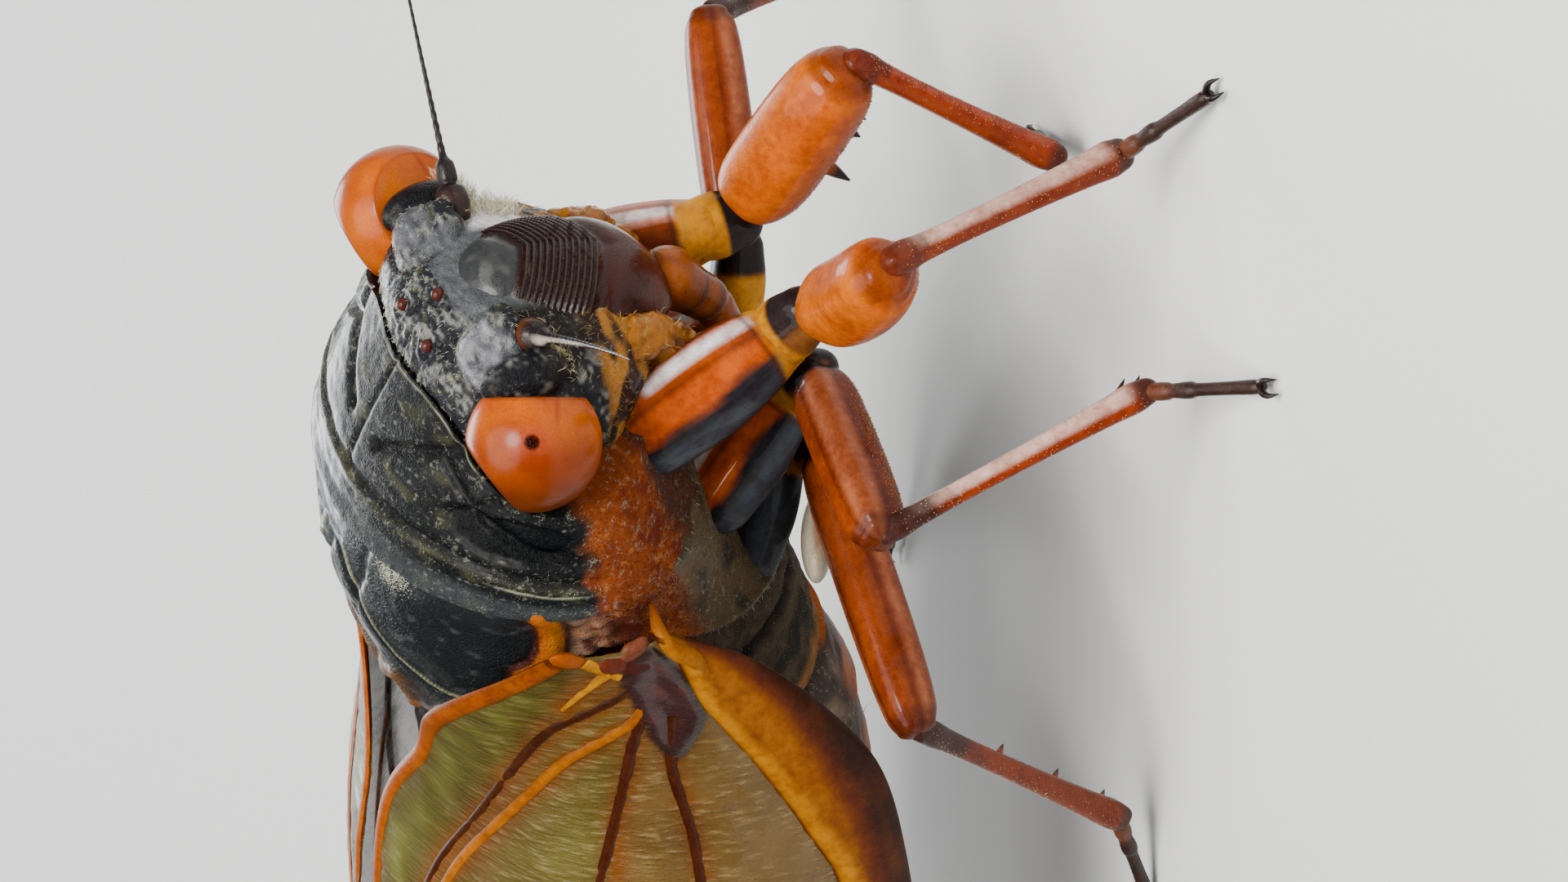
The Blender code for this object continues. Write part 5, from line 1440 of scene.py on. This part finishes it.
def costalBand(side):
    # A red-brown outer band and a bright yellow inner one
    front, rear, steps = costa["front"], costa["rear"], costa["steps"]
    ys = front + (rear - front) * np.linspace(0, 1, steps) ** 1.4
    edge, yellow = smoothAt(ys, costa["rim"])[0], smoothAt(ys, costa["yellow"])[0]

    def place(ring, angle):
        i = np.clip(ring - 1, 0, steps - 1)
        end = (ring > 0) & (ring < steps + 1)
        taper = 1 - ease(ys[i], 27, rear)
        middle, half = edge[i] / 2, (edge[i] / 2 + 0.004) * (0.1 + 0.9 * taper)
        across = middle + half * np.cos(angle) * end
        low = smoothAt(ys[i], foreWing["low"])[0]
        points = sheetPoint(ys[i], across + low * 0.6, side)
        thick = (0.2 - 0.09 * ease(ys[i], 5, 20)) * (0.3 + 0.7 * taper) * np.sin(angle) * end
        thick = thick * (1 + 0.35 * bell(np.cos(angle) - 0.55, 0.25))
        return points + sheetNormal(ys[i], across, side) * thick[:, None]

    made, ring, angle = ball("costa", steps, 36, place)
    points = coordinates(made)
    i = np.clip(ring - 1, 0, steps - 1)
    width = sheetWidth(ys)[i]
    across = edge[i] * (1 + np.cos(angle)) / 2
    inward = (edge[i] - across) * width  # mm from the inner edge
    paint = Paint(points, (46, 20, 8), 0.36)
    paint.lay(ease(wobble(points * (1, 0.4, 1), 0.8, 111), 0.0, 0.9) * 0.5, (82, 36, 10), 0.36)
    inwardEdge = (across - yellow[i]) * width
    paint.lay(ease(inwardEdge, -0.25, 0.3), (92, 36, 4), 0.34)
    paint.lay(ease(inwardEdge, 0.1, 0.5), (140, 80, 0), 0.32)
    paint.lay(ease(wobble(points * (1, 0.15, 1), 0.7, 118), 0.2, 1.0) * 0.25, (116, 56, 0), 0.32)
    paint.lay(bell(inward - 0.24, 0.14) * 0.85, (170, 112, 2), 0.3)
    paint.lay(bell(inward - 0.5, 0.05) * ease(inwardEdge, 0.0, 0.2) * 0.45, (92, 44, 2), 0.32)
    paint.lay((1 - ease(inward, 0.04, 0.1)) * 0.9, (56, 22, 6), 0.35)
    return paint.keep(made)


def innerMargin(side):
    # The rolled orange rear margin of the claval cell
    ys = (4.6, 5.2, 5.9, 6.8, 7.6, 8.6, 9.6, 11.8, 14, 17, 20)
    line = zip(ys, smoothAt(ys, foreWing["high"])[0] - 0.012)
    return veinTube(tuple(line), 0.25, 0.06, (136, 64, 0), side, 0.0, 0.45)


def rootPlates(side):
    # Hard plates at the wing's root, and the vein that reaches on to the body
    plates = []
    for spot, size, colour in (
        ((4.8, 0.55), (0.3, 0.34, 0.12), (92, 40, 24)),
        ((4.95, 0.42), (0.34, 0.3, 0.14), (58, 24, 22)),
        ((4.55, 0.34), (0.22, 0.36, 0.14), (104, 58, 40)),
        ((4.5, 0.88), (0.24, 0.42, 0.13), (140, 66, 0)),
    ):
        ys, across = np.array([spot[0]]), np.array([spot[1]])
        centre = sheetPoint(ys, across, side)[0]
        normal = sheetNormal(ys, across, side)[0]
        way = direction((sheetPoint(ys + 0.1, across, side) - sheetPoint(ys, across, side))[0])
        axes = Matrix((way, np.cross(normal, way), normal)).transposed()
        made = ellipsoid("plate", centre, size, 20, 36, axes,
                         lambda p, _: 0.05 * wobble(p, 0.6, 112))
        paint = Paint(coordinates(made), colour, 0.35)
        paint.blot(0.6, 113, 0.1, 0.8, 0.5, (60, 22, 18), 0.35)
        plates.append(paint.keep(made))
    path = sheetPoint(np.array([4.4, 4.6, 5.0, 5.6]), np.array([0.12, 0.1, 0.13, 0.17]), side)
    path[0] = (4.42 * side, 4.2, -0.62)
    horn = tube("horn", path, (0.1, 0.26, 0.34, 0.16), 24, 40,
                shape=lambda s, a: 1 - 0.45 * np.abs(np.cos(a)) ** 2)
    paint = Paint(horn.points, (146, 88, 0), 0.32)
    paint.lay(1 - ease(horn.along, 0.02, 0.3), (116, 56, 10), 0.35)
    return [*plates, paint.keep(horn.piece)]


def insideShape(u, v, outline):
    crossings = np.zeros(len(u), int)
    for (u0, v0), (u1, v1) in zip(outline, (*outline[1:], outline[0])):
        straddles = (v0 > v) != (v1 > v)
        crossings += straddles & (u < u0 + (u1 - u0) * (v - v0) / ((v1 - v0) or 1e-9))
    return crossings % 2 == 1


def membrane(name, wing, side, veins):
    bpy.ops.object.select_all(action="DESELECT")
    bpy.ops.mesh.primitive_grid_add(x_subdivisions=wing["columns"], y_subdivisions=wing["rows"],
                                    size=2)
    made = named(name)
    flat = coordinates(made)
    s, t = (flat[:, 0] + 1) / 2, (flat[:, 1] + 1) / 2
    first, last = wing["low"][0][0], wing["low"][-1][0]
    ys = first + (last - first) * (s - 0.12 * np.sin(turn * s))
    low, high = smoothAt(ys, wing["low"])[0], smoothAt(ys, wing["high"])[0]
    across = low + (high - low) * t
    width = sheetWidth(ys)
    spots = np.stack((ys, across * width), axis=1)
    near = np.full(len(ys), 1e9)
    for line, *_ in veins:
        near = np.minimum(near, lineDistance(*spots.T, inMillimetres(line)))
    near = np.minimum(near, np.minimum((across - low) * width, (high - across) * width))
    normal = sheetNormal(ys, across, side)
    billow = 0.05 * ease(near, 0.0, 0.8) + 0.02 * wobble(spots, 1.1, 115)
    creased = 0.02 * wobble(spots * (2.6, 0.5), 1.0, 116)
    cell = np.zeros(len(ys))
    if wing is foreWing:
        outline = inMillimetres(basalCell)
        rim = lineDistance(*spots.T, (*outline, outline[0]))
        cell = ease(np.where(insideShape(*spots.T, outline), rim, -rim), -0.06, 0.08)
        creased = creased * (1 - cell) + cell * (0.07 - 0.05 * ease(rim, 0.1, 0.4))
    lift = (billow + creased - wing["inset"])[:, None]
    putCoordinates(made, sheetPoint(ys, across, side) + normal * lift)
    lie = made.data.attributes.new("lie", "FLOAT_VECTOR", "POINT")
    flat = np.column_stack((spots, np.zeros(len(ys))))
    lie.data.foreach_set("vector", flat.astype(np.float32).ravel())
    paint = Paint(spots, (150, 120, 64), 0.4)
    base = 1 - ease(ys, 10, 24)
    paint.lay(base * 0.8, (98, 74, 34), 0.72)
    clavus = ease(across, 0.74, 0.8) * (1 - ease(ys, 12, 22))
    paint.lay(clavus * 0.9, (62, 64, 8), 0.84)
    paint.blot(1.6, 117, 0.0, 0.9, clavus * 0.6, (104, 106, 44), 0.78)
    paint.lay(between(across, 0.53, 0.74, 0.03) * (1 - ease(ys, 9, 20)) * 0.75, (90, 86, 32), 0.74)
    paint.lay(bell(near, 0.2) * 0.8, (120, 60, 0), 0.86)
    paint.lay(bell(near, 0.5) * base * 0.4, (84, 40, 8), 0.8)
    paint.lay(cell, (46, 22, 22), 1.0)
    paint.blot(0.6, 119, 0.1, 0.9, cell * 0.4, (84, 34, 26), 1.0)
    if wing is foreWing:
        paint.lay(bell(rim, 0.08) * 0.9, (20, 10, 10), 1.0)
    return applied(paint.keep(made), "SOLIDIFY", thickness=wing["thickness"], offset=0.0)


for side, word in ((1, "left"), (-1, "right")):
    for wing, veins, title in ((foreWing, foreVeins, "forewing"),
                               (hindWing, hindVeins, "hindwing")):
        settle(membrane(f"{title}_sheet_{word}", wing, side, veins), "membrane")
        ribs = [veinTube(line, wide, narrow, colour, side, wing["inset"])
                for line, wide, narrow, colour in veins]
        if wing is foreWing:
            ribs += [costalBand(side), innerMargin(side), *rootPlates(side)]
        settle(joined(f"{title}_veins_{word}", ribs), "vein", [f"{title}_{word}"])

print("down")
headCoat.made("body")
thoraxCoat.made("body")
sideCoat.made("side")
legCoat.made("orange_limb")

print("stage")
studio = {"floor": 4, "colour": (0.86, 0.9, 0.88, 1), "strength": 0.22, "aim": (-1.0, 1.0, 11.0)}
bpy.ops.object.select_all(action="DESELECT")
bpy.ops.mesh.primitive_plane_add(size=studio["floor"])
floor = named("floor")
floor.data.materials.append(floorFinish())
floor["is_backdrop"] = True

world = bpy.data.worlds.new("studio")
scene = bpy.context.scene
scene.world = world
world.use_nodes = True
sky = world.node_tree.nodes["Background"]
sky.inputs["Color"].default_value = studio["colour"]
sky.inputs["Strength"].default_value = studio["strength"]

camera = {
    "lens": 250.0, "sensor": 36.0, "near": 0.01, "far": 10.0,
    "place": (-140.31028843, -141.04568448, 72.61139221),
    "axes": ((-0.38998275, -0.04518258, -0.91971299), (0.64466489, -0.72658432, -0.23766027),
             (-0.65751093, -0.68559008, 0.31248297)),
}
lights = {
    # name: place over the floor, size in mm, power in watts, colour
    "sky_box": ((-38, -44, 184), 230, 0.78, (1.0, 0.985, 0.95)),
    "face_box": ((-64, -116, 162), 84, 0.52, (1.0, 0.97, 0.93)),
    "rear_box": ((176, 110, 92), 120, 0.5, (0.94, 0.97, 1.0)),
}
for name, (place, size, power, colour) in lights.items():
    lamp = bpy.data.lights.new(name, "AREA")
    lamp.shape, lamp.size, lamp.energy, lamp.color = "DISK", size * mm, power, colour
    holder = bpy.data.objects.new(name, lamp)
    scene.collection.objects.link(holder)
    spot = floorToModel @ Vector(place)
    aim = floorToModel @ Vector(studio["aim"])
    holder.location = spot
    holder.rotation_euler = (aim - spot).to_track_quat("-Z", "Y").to_euler()

view = bpy.data.cameras.new("camera")
view.lens, view.sensor_width = camera["lens"], camera["sensor"]
view.clip_start, view.clip_end = camera["near"], camera["far"]
eyePoint = bpy.data.objects.new("camera", view)
scene.collection.objects.link(eyePoint)
axes = Matrix(camera["axes"]).transposed().to_4x4()
eyePoint.matrix_world = Matrix.Translation(floorToModel @ Vector(camera["place"])) @ axes
scene.camera = eyePoint

low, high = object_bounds()
print("size", [round((b - a) / mm, 2) for a, b in zip(low, high)])
